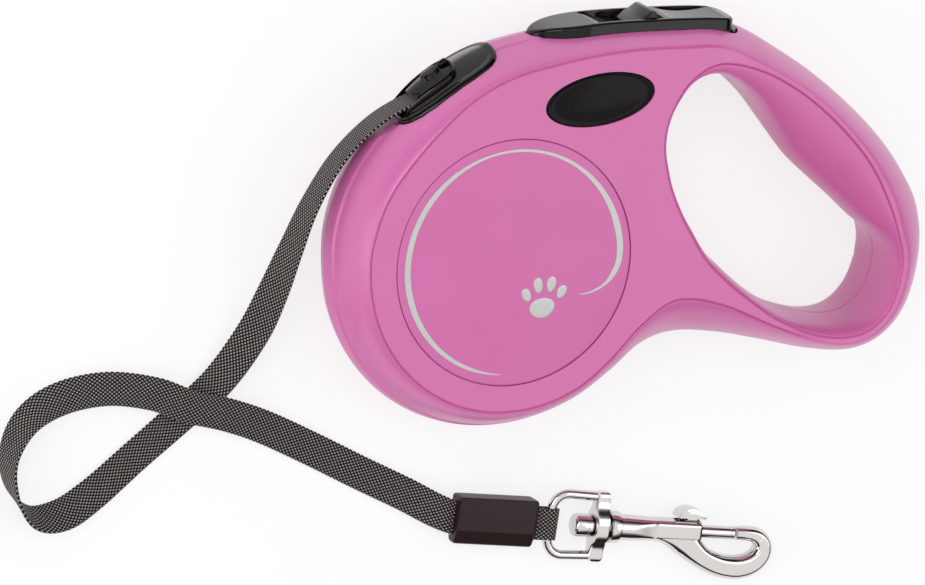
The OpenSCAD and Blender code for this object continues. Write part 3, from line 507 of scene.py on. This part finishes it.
def half_case():
    """The upper half as lines round the case: up the outside rim, over its
    groove, across the flat face, over the inner groove and down inside. Each
    line is the seam, face, brow or mouth line moved by a distance, and its
    height follows the roll-over. The seam band stands proud of the rim."""
    def unit(a, b):
        gap = np.linalg.norm(b - a, axis=1)[:, None]
        return (b - a) / gap, gap

    def left_of(line):
        go = np.roll(line, -1, 0) - np.roll(line, 1, 0)
        return np.stack([-go[:, 1], go[:, 0]], 1) / np.linalg.norm(go, axis=1)[:, None]

    inwards, span = unit(face, seam)
    width = unit(face, brow)[1]
    down, depth = unit(brow, mouth)
    face_side, brow_side = left_of(face), left_of(brow)
    tuck = 0.42 * (fade(station, 10.5, 13) * (1 - fade(station, 22, 28)))[:, None]
    groove_out = 0.65 * (fade(station, 7.2, 8.4) * (1 - fade(station, 31, 32.5)))[:, None]
    fine = np.array([0.31, 0.23, 0.16, 0.09, 0.03])
    rows = []

    def add_row(p, z):
        rows.append(np.c_[p, np.broadcast_to(z, (len(p), 1))])

    t = np.radians(np.linspace(0, 66, 26))
    heights = np.unique(np.concatenate([np.sin(t) ** (2 / OUTER_Q) * HALF, [0.22, 0.5, 3.3, 3.6, 3.9, 4.2, 4.5]]))
    for z in heights:
        drop = tuck * fade(z, 3.4, 4.3) * (1 - fade(z, 7, 14)) + (0.2 if z == 0 else 0)
        left = span * (1 - roll_over(z / HALF, OUTER_Q))
        add_row(face + inwards * (left - drop), HALF + z)
    reach = span * (1 - roll_over(heights[-1] / HALF, OUTER_Q))
    for d in [reach * (0.42 / reach) ** (k / 8) for k in range(1, 9)] + [x * np.ones_like(span) for x in fine]:
        z = HALF + HALF * (1 - (d / span) ** OUTER_Q) ** (1 / OUTER_Q) - groove_out * np.exp(-(d / GROOVE_W) ** 2)
        add_row(face + inwards * d, z)
    near = np.append(fine, 0.42)
    for d in np.sort(np.append(near, 0)):
        d = np.minimum(d, 0.42 * width)
        add_row(face + face_side * d, 2 * HALF - groove_out * np.exp(-(d / GROOVE_W) ** 2))
    for d in np.sort(np.append(near, 0))[::-1]:
        d = np.minimum(d, 0.42 * width)
        add_row(brow - brow_side * d, 2 * HALF - GROOVE_IN * np.exp(-(d / GROOVE_W) ** 2))
    t = np.radians(np.linspace(0, 66, 26))[::-1]
    heights = np.sin(t) ** (2 / INNER_Q) * HALF
    reach = depth * (1 - roll_over(heights[0] / HALF, INNER_Q))
    far = [reach * (0.42 / reach) ** (k / 8) for k in range(8, 0, -1)]
    for d in [x * np.ones_like(depth) for x in fine[::-1]] + far:
        d = np.minimum(d, reach * 0.98)
        z = HALF + HALF * (1 - (d / depth) ** INNER_Q) ** (1 / INNER_Q) - GROOVE_IN * np.exp(-(d / GROOVE_W) ** 2)
        add_row(brow + down * d, z)
    for z in heights:
        left = depth * (1 - roll_over(z / HALF, INNER_Q))
        add_row(brow + down * (left - (0.2 if z == 0 else 0)), HALF + z)
    return np.stack(rows, 1)


def prism(outline, z0, z1):
    """A plan outline in x and y carried straight from one height to another."""
    p = np.asarray(outline, float)
    return np.stack([np.c_[p, np.full(len(p), z)] for z in (z0, z1)])


def turned(profile, sides=128):
    """A profile of (radius, height) turned round the spool's axis."""
    p = np.asarray(profile, float)
    a = np.linspace(0, 2 * np.pi, sides, endpoint=False)
    return np.stack([p[:, :1] * np.cos(a), p[:, :1] * np.sin(a), np.broadcast_to(p[:, 1:], (len(p), sides))], -1)


def oval(a, b, count=96):
    """The badge's outline: an ellipse turned 7.6 degrees about its middle."""
    t = np.linspace(0, 2 * np.pi, count, endpoint=False)
    x, y, turn = a * np.cos(t), b * np.sin(t), np.radians(7.6)
    return np.stack([22 + x * np.cos(turn) - y * np.sin(turn), 42.3 + x * np.sin(turn) + y * np.cos(turn)], 1)


# The button's outline seen from above: pointed nose, straight sides, round
# back, as places along it and the half width at each.
PLAN_X = np.array([6.9, 7.0, 7.25, 7.7, 8.6, 10, 12, 14, 16.5, 19, 21.5,
                   58.5, 60, 61, 62, 62.8, 63.3, 63.55, 63.65])
PLAN_W = np.array([0, 0.8, 1.5, 2.2, 3.2, 4.3, 5.4, 6.3, 7.0, 7.4, 7.5,
                   7.5, 7.35, 7.0, 6.1, 4.9, 3.6, 2.2, 0])


def button_plan(grow, back=0.0):
    """The outline as x and z points, moved outwards along its own normals,
    with its rear end also moved back by a distance."""
    x = np.concatenate([PLAN_X, PLAN_X[-2:0:-1]])
    w = np.concatenate([PLAN_W, -PLAN_W[-2:0:-1]])
    p = np.stack([x + back * fade(x, 50, 60), HALF + w], 1)
    go = np.roll(p, -1, 0) - np.roll(p, 1, 0)
    return p + np.stack([-go[:, 1], go[:, 0]], 1) / np.linalg.norm(go, axis=1)[:, None] * grow


CHANNEL = [(2, 38.5), (-4, 40), (-9, 41.2), (-18, 40.8), (-27, 37.4), (-33, 33.6), (-40, 29),
           (-43, 34), (-34, 38.4), (-27.5, 42.6), (-18, 45.2), (-9, 44.9), (0, 43.4)]
CAVITY = [(0, 14), (44.2, 14), (44.2, 22.2), (42.8, 24.15), (41, 25.95), (38.5, 27.6), (8.2, 27.6), (8.2, 23.3), (0, 23.3)]


def window_cut(name):
    """The slot the button moves in: its outline with a quarter of a
    millimetre round it, from below the seam to clear of the case."""
    plan = button_plan(0.28, 1.3)
    return solid(name, np.stack([np.c_[plan[:, 0], np.full(len(plan), y), plan[:, 1]] for y in (48.4, 72)]))


case_parts = []
for name, node, flip in (("case_upper", "left_shell", False), ("case_lower", "right_shell", True)):
    grid = half_case()
    shell = solid(name, grid, ring=True, sharp=34)
    cuts = [solid("cavity", turned(CAVITY)), solid("disc_seat", turned([(0, 29.1), (33.0, 29.1), (33.0, 31), (0, 31)])),
            solid("badge_seat", prism(oval(15.4, 7.0), 28.5, 31)), window_cut("window"),
            solid("channel", prism(CHANNEL, 9.7, 20.3))]
    if flip:
        for x, y in ((2, 48.5), (72, 47), (112.5, -11), (50, -8)):
            cuts.append(solid("screw_well", turned([(0, 25), (3.0, 25), (3.0, 31), (0, 31)], 40) + [x, y, 0]))
    carve(shell, *cuts)
    if flip:
        shell.data.transform(Matrix.Translation((0, 0, 0.030)) @ Matrix.Scale(-1, 4, (0, 0, 1)))
        shell.data.flip_normals()
        shell.data.set_sharp_from_angle(angle=np.radians(34))
    case_parts.append((shell, node))

# Moulded ABS with a satin spark finish: a pink with a soft wide highlight and
# a skin of 0.3 mm grain, slightly uneven in gloss.
pink, t, skin = material("satin_pink_abs", "#CF6AA6", 0.30, Specular_IOR_Level=0.7)
where = add(t, "TexCoord")
grain = add(t, "TexNoise", {"Scale": 3400.0, "Detail": 2.0}, {"Vector": where.outputs["Object"]})
cloud = add(t, "TexNoise", {"Scale": 42.0, "Detail": 2.0}, {"Vector": where.outputs["Object"]})
gloss = add(t, "MapRange", {"To Min": 0.25, "To Max": 0.36}, {"Value": cloud.outputs["Fac"]})
t.links.new(gloss.outputs[0], skin.inputs["Roughness"])
tint = add(t, "Mix", {"data_type": "RGBA", 6: colour("#CC66A3"), 7: colour("#D26EAA")}, {0: cloud.outputs["Fac"]})
t.links.new(tint.outputs[2], skin.inputs["Base Color"])
relief = add(t, "Bump", {"Strength": 0.16, "Distance": 0.00012}, {"Height": grain.outputs["Fac"]})
t.links.new(relief.outputs[0], skin.inputs["Normal"])
for shell, node in case_parts:
    shell.data.materials.clear()
    shell.data.materials.append(pink)
    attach(shell, "case")
    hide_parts(node)

# ---- Side discs ----
# A thin moulded disc closes each side; its edge is eased, so a fine shadow
# line rings it.
DISC = [(0, 29.1), (32.6, 29.1), (32.75, 29.25), (32.75, 29.62), (32.68, 29.85), (32.45, 29.97), (32.1, 30.0), (0, 30.0)]
satin, t, skin = material("smooth_pink_abs", "#CB6CA3", 0.33)
where = add(t, "TexCoord")
grain = add(t, "TexNoise", {"Scale": 2600.0, "Detail": 2.0}, {"Vector": where.outputs["Object"]})
cloud = add(t, "TexNoise", {"Scale": 42.0, "Detail": 2.0}, {"Vector": where.outputs["Object"]})
tint = add(t, "Mix", {"data_type": "RGBA", 6: colour("#CC66A3"), 7: colour("#D26EAA")}, {0: cloud.outputs["Fac"]})
t.links.new(tint.outputs[2], skin.inputs["Base Color"])
relief = add(t, "Bump", {"Strength": 0.1, "Distance": 0.0001}, {"Height": grain.outputs["Fac"]})
t.links.new(relief.outputs[0], skin.inputs["Normal"])
for name, node, flip in (("disc_upper", "left_disc", False), ("disc_lower", "right_disc", True)):
    grid = turned(DISC)
    if flip:
        grid = grid * [1, 1, -1] + [0, 0, 30]
    disc = solid(name, grid)
    disc.data.materials.append(satin)
    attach(disc, "case")
    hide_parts(node)

# ---- Silver ring and paw ----
# Hot-stamped foil on each disc: an open ring that swells and thins like a
# brush stroke and curls in at its end, with a plain paw print beside it.
angle = np.radians(np.linspace(265.5, 4, 150))
arc = np.stack([29.85 * np.cos(angle), 29.85 * np.sin(angle)], 1)
curl = open_spline([arc[-1], (29.2, -2.2), (26.6, -6.4), (22.5, -8.8), (18.8, -9.4)], 12)[1:]
stroke = np.concatenate([arc, curl])
along = np.linspace(0, 1, len(stroke))
breadth = np.interp(along, [0, 0.05, 0.2, 0.36, 0.46, 0.6, 0.72, 0.84, 0.9, 1],
                    [0.1, 0.45, 0.85, 0.75, 0.3, 0.45, 0.9, 0.75, 0.35, 0.08])
go = np.gradient(stroke, axis=0)
side = np.stack([-go[:, 1], go[:, 0]], 1) / np.linalg.norm(go, axis=1)[:, None] * breadth[:, None]
FOIL = 0.05
left, middle, right = stroke - side, stroke, stroke + side
ribbon = np.stack([np.c_[p, np.full(len(p), z)] for p, z in
                   ((left, 29.95), (right, 29.95), (right, 30.0), (right * 0.98 + middle * 0.02, 30 + FOIL),
                    (left * 0.98 + middle * 0.02, 30 + FOIL), (left, 30.0))], 1)


def paw_pad(x, y, a, b, tilt):
    """One pad: a low ellipse of foil with a rounded edge, turned by a tilt."""
    t = np.linspace(0, 2 * np.pi, 36, endpoint=False)
    size = np.array([1, 1, 0.97, 0.9, 0.5, 0.02])
    z = np.array([29.95, 30.0, 30.03, 30 + FOIL, 30 + FOIL, 30 + FOIL])
    px, py = a * np.cos(t) * (1 + 0.12 * np.sin(t)), b * np.sin(t)
    c, s = np.cos(np.radians(tilt)), np.sin(np.radians(tilt))
    size = size[:, None]
    return np.stack(np.broadcast_arrays(x + size * (px * c - py * s), y + size * (px * s + py * c), z[:, None]), -1)


PAW = [(8.6, -12.6, 3.5, 2.7, 6), (4.0, -8.9, 1.25, 1.9, 26), (7.2, -6.5, 1.3, 2.1, 10),
       (10.9, -6.3, 1.3, 2.1, -8), (13.9, -8.5, 1.25, 1.9, -26)]
# Silver hot-stamp foil: soft metal sheen over the plastic, faintly streaked.
foil, t, skin = material("silver_stamping_foil", "#C3C5C2", 0.36, Metallic=0.75)
streak = add(t, "TexNoise", {"Scale": 700.0, "Detail": 2.0}, {"Vector": add(t, "TexCoord").outputs["Object"]})
rough = add(t, "MapRange", {"To Min": 0.28, "To Max": 0.5}, {"Value": streak.outputs["Fac"]})
t.links.new(rough.outputs[0], skin.inputs["Roughness"])
for name, node, flip in (("foil_upper", "left_trim_ring", False), ("foil_lower", "right_trim_ring", True)):
    grids = [ribbon] + [paw_pad(*p) for p in PAW]
    if flip:
        grids = [g * [1, 1, -1] + [0, 0, 30.05] for g in grids]
    mark = solid(name, *grids)
    mark.data.materials.append(foil)
    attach(mark, "case")
    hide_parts(node)

# ---- Badges ----
# A glossy black oval dome set in a shallow seat on each side, left plain.
gloss_black, t, skin = material("glossy_black_abs", "#0C0808", 0.12, Specular_IOR_Level=0.12)
swirl = add(t, "TexNoise", {"Scale": 260.0, "Detail": 2.0}, {"Vector": add(t, "TexCoord").outputs["Object"]})
rough = add(t, "MapRange", {"To Min": 0.07, "To Max": 0.16}, {"Value": swirl.outputs["Fac"]})
t.links.new(rough.outputs[0], skin.inputs["Roughness"])
relief = add(t, "Bump", {"Strength": 0.05, "Distance": 0.0003}, {"Height": swirl.outputs["Fac"]})
t.links.new(relief.outputs[0], skin.inputs["Normal"])
BADGE_RINGS = np.array([(1, 28.5), (1, 29.5), (0.993, 29.72), (0.975, 29.86), (0.95, 29.88), (0.93, 29.78), (0.9, 29.74),
                        (0.8, 29.8), (0.6, 29.88), (0.4, 29.93), (0.2, 29.95), (0.03, 29.96)])
for name, node, flip in (("oval_badge_upper", "left_badge", False), ("oval_badge_lower", "right_badge", True)):
    edge = oval(15.22, 6.82)
    grid = np.stack([np.c_[[22, 42.3] + (edge - [22, 42.3]) * k, np.full(len(edge), z)] for k, z in BADGE_RINGS])
    if flip:
        grid = grid * [1, 1, -1] + [0, 0, 30]
    badge = solid(name, grid, sharp=60)
    badge.data.materials.append(gloss_black)
    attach(badge, "case")
    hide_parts(node)

# ---- Tape outlet ----
# A brown-black polished panel wraps over the case's shoulder, with a bead
# round its edge; a hooded guide on it turns the tape out, pinned through.


def on_rim(k, z, out):
    """A point on the outside of the rim: the place on the seam line at
    station k, rolled in for its height z, then moved out by a distance."""
    at = np.arange(len(seam) + 1) / SUB
    s, f = (np.stack([np.interp(k, at, np.append(x[:, j], x[0, j])) for j in (0, 1)], -1) for x in (seam, face))
    reach = np.linalg.norm(s - f, axis=-1)[..., None]
    p = s + (f - s) * roll_over(np.abs(z - HALF) / HALF, OUTER_Q)[..., None] + (s - f) / reach * np.asarray(out)[..., None]
    return np.concatenate([p, z[..., None]], -1)


def edge_gap(x, y, outline):
    """Distance from every grid point to the closed outline: to the nearest
    place on each straight piece of it, and the least of those."""
    run = np.roll(outline, -1, 0) - outline
    px, py = x[..., None] - outline[:, 0], y[..., None] - outline[:, 1]
    t = np.clip((px * run[:, 0] + py * run[:, 1]) / (run ** 2).sum(1), 0, 1)
    return np.sqrt(((px - t * run[:, 0]) ** 2 + (py - t * run[:, 1]) ** 2).min(-1))


def roll_edge(gap, radius):
    """How far a rounded edge has dropped at a distance from the outline."""
    g = np.clip(gap, 0, radius)
    return radius - np.sqrt(radius ** 2 - (radius - g) ** 2)


def cosine_steps(count):
    """Places from 0 to 1 that crowd together at both ends."""
    return 0.5 - 0.5 * np.cos(np.linspace(0, np.pi, count))


STATION_MM = 13.0


def rim_pad(k0, k1, table, base, height, rows=90, cols=61):
    """A pad on the rim from station k0 to k1. Its half width comes from a
    table along its length, and its height above the rim from a function of
    the place and the distance to its edge. Its underside lies at the base."""
    u, v = cosine_steps(rows), np.sin(np.linspace(-90, 90, cols) * np.pi / 180)
    half = np.interp(u, *zip(*table))
    k = np.broadcast_to((k0 + (k1 - k0) * u)[:, None], (rows, cols))
    dz = half[:, None] * v[None, :]
    mm = (k - k0) * STATION_MM
    edge = np.array(table) * [(k1 - k0) * STATION_MM, 1]
    outline = np.concatenate([edge, edge[-2:0:-1] * [1, -1]])
    gap = edge_gap(mm, dz, outline)
    top = on_rim(k, HALF + dz, height(mm, dz, gap))
    under = on_rim(k, HALF + dz, np.full(k.shape, base))
    return np.concatenate([top, under[:, ::-1]], 1)


# share of the length from the panel's far end, and the half width there
SHIELD_W = [(0, 0), (0.004, 2.4), (0.014, 4.3), (0.035, 6.1), (0.07, 7.6), (0.12, 8.8), (0.19, 9.6),
            (0.3, 10.1), (0.5, 10.1), (0.68, 9.7), (0.82, 8.8), (0.91, 7.6), (0.96, 6.2), (0.99, 3.6), (1, 0)]
shield = solid("outlet_panel", rim_pad(12.87, 15.55, SHIELD_W, -1.6, lambda mm, dz, gap:
               0.5 - roll_edge(gap, 0.8) - 0.42 * fade(gap, 0.9, 2.6)), caps=False, sharp=50)
GUIDE_W = [(0, 0), (0.006, 1.8), (0.02, 3.1), (0.05, 4.4), (0.1, 5.4), (0.18, 6.1), (0.3, 6.3),
           (0.45, 6.1), (0.65, 5.6), (0.85, 5.2), (0.95, 5.0), (0.985, 4.6), (1, 0)]


def hood(mm, dz, gap):
    """The guide's height: a rounded edge, a fine bead inside it, a dish
    behind the bead, and an oval boss in the middle."""
    boss = ((mm - 6.6) / 2.9) ** 2 + ((dz - 0.5) / 2.0) ** 2
    return (1.55 - roll_edge(gap, 0.9) - 0.5 * fade(gap, 0.8, 1.3) + 0.35 * fade(gap, 1.4, 4.5)
            + 1.0 * (1 - fade(boss, 0.8, 1.1)) - 0.3 * fade(mm, 10, 17))


guide = solid("tape_guide", rim_pad(13.81, 15.3, GUIDE_W, -2.6, hood), caps=False, sharp=50)
knuckle = on_rim(np.linspace(13.89, 14.1, 9), np.full(9, HALF), np.full(9, 1.75))
ribs = 0.95 - 0.16 * (np.arange(9) % 2)
ribs[[0, -1]] = 0.6
turn = np.linspace(0, 2 * np.pi, 24, endpoint=False)
out_way = np.array([-0.53, 0.85, 0])
spokes = np.cos(turn)[:, None] * out_way + np.sin(turn)[:, None] * np.array([0, 0, 1.0])
barrel = knuckle[:, None] + ribs[:, None, None] * spokes
guide_ribs = solid("guide_knuckle", barrel, sharp=60)
for cut_piece in (shield, guide):
    carve(cut_piece, solid("channel", prism(CHANNEL, 10.0, 20.0)))
# Polished ABS in a very dark brown: mirror-like with soft grey reflections.
brown_gloss, t, skin = material("polished_brown_black_abs", "#0E0708", 0.10, Specular_IOR_Level=0.16,
                                Coat_Weight=0.28, Coat_Roughness=0.04)
swirl = add(t, "TexNoise", {"Scale": 260.0, "Detail": 2.0}, {"Vector": add(t, "TexCoord").outputs["Object"]})
rough = add(t, "MapRange", {"To Min": 0.07, "To Max": 0.15}, {"Value": swirl.outputs["Fac"]})
t.links.new(rough.outputs[0], skin.inputs["Roughness"])
relief = add(t, "Bump", {"Strength": 0.05, "Distance": 0.0003}, {"Height": swirl.outputs["Fac"]})
t.links.new(relief.outputs[0], skin.inputs["Normal"])
for part, node in ((shield, "outlet_shield"), (guide, "outlet_guide"), (guide_ribs, None)):
    part.data.materials.clear()
    part.data.materials.append(brown_gloss)
    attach(part, "case")
    if node:
        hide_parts(node)

# ---- Brake button ----
# The thumb button: a sloping nose plate that ends in a crisp line, a dip for
# the lock slider between two side walls, and a long shallow thumb scoop.
TOP_X = [6.9, 9, 12, 16.6, 24, 31, 38, 46, 55, 60, 62.5, 63.65]
TOP_Y = [57.8, 58.6, 59.3, 59.9, 60.55, 60.8, 60.85, 60.85, 60.65, 60.3, 59.95, 59.5]


def button_top(x, dz, gap):
    """The button's top: the side view's line, less a rounded edge, the dip
    from x 23 to 31, the slider's slot to x 43 and the scoop from x 45 to 60,
    each kept between the side walls."""
    curve = open_spline(np.stack([TOP_X, TOP_Y], 1), 12)
    y = np.interp(x, curve[:, 0], curve[:, 1])
    between = 1 - fade(np.abs(dz), 5.75, 6.05)
    dip = 1.9 * fade(x, 23.4, 31) * (1 - fade(x, 42.2, 42.9))
    crisp = 0.22 * fade(x, 23.1, 23.5) * (1 - fade(x, 42.2, 42.9))
    scoop = 0.6 * np.sin(np.pi * np.clip((x - 44.6) / 15.6, 0, 1)) ** 0.7
    return y - roll_edge(gap, 0.75) - between * (dip + crisp + scoop)


def smooth_plan(x):
    """The half width of the button's outline at a distance along it."""
    return np.interp(x, PLAN_X, PLAN_W)


nose_u = PLAN_X[0] + 10 * cosine_steps(60)[:30]
back_u = PLAN_X[-1] - 3.65 * cosine_steps(50)[:25][::-1]
u = np.concatenate([nose_u, np.linspace(12, 61, 190), back_u])
u = np.unique(np.round(u, 4))
wall_v = np.array([0.765, 0.786, 0.806, 0.82])
v = np.unique(np.concatenate([np.sin(np.radians(np.linspace(-90, 90, 49))), wall_v, -wall_v]))
x = np.broadcast_to(u[:, None], (len(u), len(v)))
dz = smooth_plan(u)[:, None] * v[None]
edge = np.stack([PLAN_X, PLAN_W], 1)
outline = np.concatenate([edge, edge[-2:0:-1] * [1, -1]])
top = np.stack([x, button_top(x, dz, edge_gap(x, dz, outline)), HALF + dz], -1)
floor_y = np.full(x.shape, 53.4)
under = np.stack([x, floor_y, HALF + dz], -1)
button = solid("thumb_button", np.concatenate([top, under[:, ::-1]], 1), caps=False, sharp=32)
plan = button_plan(0.0, 0.95)
foot = solid("button_foot", np.stack([np.c_[plan[:, 0], np.full(len(plan), y), plan[:, 1]] for y in (53.0, 57.1)]))
pin_hole = turned([(0, -2), (1.7, -2), (1.7, 32), (0, 32)], 40) + [13, 52.2, 0]
lug = rounded([(9.6, 57), (10.2, 50), (12.5, 49), (15.4, 50), (18, 53.6), (18, 57)], 1.2)
carve(button, foot, solid("pivot_lug", prism(lug, 11.2, 18.8)), keep=True)
carve(button, solid("pivot_bore", pin_hole))
button.data.materials.clear()
button.data.materials.append(brown_gloss)
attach(button, "button")
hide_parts("brake_button")

# ---- Lock slider ----
# A small wedge with a ridged top that slides in the button's slot to hold it.
wedge = rounded([(33.2, 58.2), (42.0, 58.2), (42.1, 60.0), (40.7, 62.6), (39.5, 62.65), (36.9, 60.9), (33.3, 59.5)],
                [0.2, 0.2, 0.4, 0.25, 0.35, 1.2, 0.3], 5)
z = np.array([-5.55, -5.48, -5.2, 5.2, 5.48, 5.55])
near_in = np.array([0.25, 0.1, 0, 0, 0.1, 0.25])
mid = wedge.mean(0)
gap = np.linalg.norm(wedge - mid, axis=1)[:, None]
grid = np.stack([np.c_[wedge - (wedge - mid) / gap * d, np.full(len(wedge), HALF + k)] for d, k in zip(near_in, z)])
slider = solid("lock_wedge", grid, sharp=40)
slider.data.materials.append(brown_gloss)
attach(slider, "lock")
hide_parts("lock_slider")

# ---- Works inside the case ----
# Spool, ratchet, springs, pins and screws keep their own shapes. They are
# acetal, spring steel, plain steel and the wound tape.
acetal, t, skin = material("moulded_grey_acetal", "#8F9194", 0.42)
grain = add(t, "TexNoise", {"Scale": 1500.0, "Detail": 2.0}, {"Vector": add(t, "TexCoord").outputs["Object"]})
relief = add(t, "Bump", {"Strength": 0.1, "Distance": 0.0001}, {"Height": grain.outputs["Fac"]})
t.links.new(relief.outputs[0], skin.inputs["Normal"])
steel, t, skin = material("turned_zinc_steel", "#B9BABC", 0.28, Metallic=1.0)
where = add(t, "TexCoord")
lathe = add(t, "Mapping", {"Scale": (500, 500, 6000)}, {"Vector": where.outputs["Object"]})
line_noise = add(t, "TexNoise", {"Scale": 1.0, "Detail": 2.0}, {"Vector": lathe.outputs[0]})
rough = add(t, "MapRange", {"To Min": 0.22, "To Max": 0.42}, {"Value": line_noise.outputs["Fac"]})
t.links.new(rough.outputs[0], skin.inputs["Roughness"])
blue_steel, t, skin = material("tempered_spring_steel", "#6F747C", 0.30, Metallic=1.0)
temper = add(t, "TexNoise", {"Scale": 300.0, "Detail": 2.0}, {"Vector": add(t, "TexCoord").outputs["Object"]})
tint = add(t, "Mix", {"data_type": "RGBA", 6: colour("#646C78"), 7: colour("#7C7B76")}, {0: temper.outputs["Fac"]})
t.links.new(tint.outputs[2], skin.inputs["Base Color"])
# The wound tape is seen only inside: fine edge lines 0.8 mm apart by radius.
wound, t, skin = material("wound_nylon_tape", "#1E1A1B", 0.7)
where = add(t, "TexCoord")
turns = add(t, "TexWave", {"wave_type": "RINGS", "rings_direction": "Z", "Scale": 62.0}, {"Vector": where.outputs["Object"]})
tint = add(t, "Mix", {"data_type": "RGBA", 6: colour("#151112"), 7: colour("#4A4442")}, {0: turns.outputs["Fac"]})
t.links.new(tint.outputs[2], skin.inputs["Base Color"])
INSIDE = {"spool_drum": acetal, "ratchet_flange": acetal, "tape_pack": wound, "power_spring": blue_steel,
          "button_spring": blue_steel, "bolt_spring": blue_steel, "outlet_pin": brown_gloss, "spool_axle": steel,
          "pivot_pin": steel, "case_screws": steel, "brake_pawl": steel}
for name, finish in INSIDE.items():
    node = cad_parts[name]
    node.data.materials.clear()
    node.data.materials.append(finish)

# ---- Table and light ----
# A pale table under the object, three soft lamps and an even sky; what shines
# mirrors a studio that is bright overhead and dark round the walls.
bpy.ops.mesh.primitive_plane_add(size=8, location=(0, 0, -0.0004))
table = bpy.context.object
table.name = "table"
paper, t, skin = material("white_paper", "#FFFFFF", 0.9)
rays = add(t, "LightPath")
seen = add(t, "Math", {"operation": "MAXIMUM"}, {0: rays.outputs["Is Camera Ray"], 1: rays.outputs["Is Glossy Ray"]})
share = add(t, "Math", {"operation": "MULTIPLY", 1: 0.75}, {0: seen.outputs[0]})
white = add(t, "Emission", {"Strength": 1.0})
both = add(t, "MixShader", links={0: share.outputs[0], 1: skin.outputs[0], 2: white.outputs[0]})
t.links.new(both.outputs[0], t.nodes["Material Output"].inputs["Surface"])
table.data.materials.append(paper)

world = bpy.data.worlds.new("studio")
scene.world = world
world.use_nodes = True
t = world.node_tree
sky = t.nodes["Background"]
way = add(t, "SeparateXYZ", links={"Vector": add(t, "TexCoord").outputs["Generated"]})
lift = add(t, "ValToRGB", links={0: way.outputs["Z"]})
ramp = lift.color_ramp
ramp.elements[0].position, ramp.elements[0].color = 0.0, (0.03, 0.03, 0.03, 1)
ramp.elements[1].position, ramp.elements[1].color = 0.85, (1.0, 1.0, 1.0, 1)
for at, grey in ((0.34, 0.02), (0.5, 0.04), (0.65, 0.3), (0.75, 0.85)):
    ramp.elements.new(at).color = (grey, grey, grey, 1)
mirror = add(t, "Mix", {"data_type": "RGBA", 6: (0.68, 0.68, 0.70, 1)},
             {0: add(t, "LightPath").outputs["Is Glossy Ray"], 7: lift.outputs[0]})
t.links.new(mirror.outputs[2], sky.inputs["Color"])
sky.inputs["Strength"].default_value = 1.0


def lamp(name, place, aim, size, power):
    """A square soft lamp at a place in metres, turned to face an aim point."""
    data = bpy.data.lights.new(name, "AREA")
    data.size, data.energy = size, power
    made = bpy.data.objects.new(name, data)
    made.location = place
    made.rotation_euler = (Vector(aim) - Vector(place)).to_track_quat("-Z", "Y").to_euler()
    scene.collection.objects.link(made)


lamp("key_light", (-0.75, 0.55, 1.25), (0, 0, 0), 0.7, 5.1)
lamp("fill_light", (0.9, 0.1, 1.1), (0, 0, 0), 0.9, 2.6)
lamp("side_light", (-1.1, -0.1, 0.42), (0, 0, 0), 0.7, 3.0)
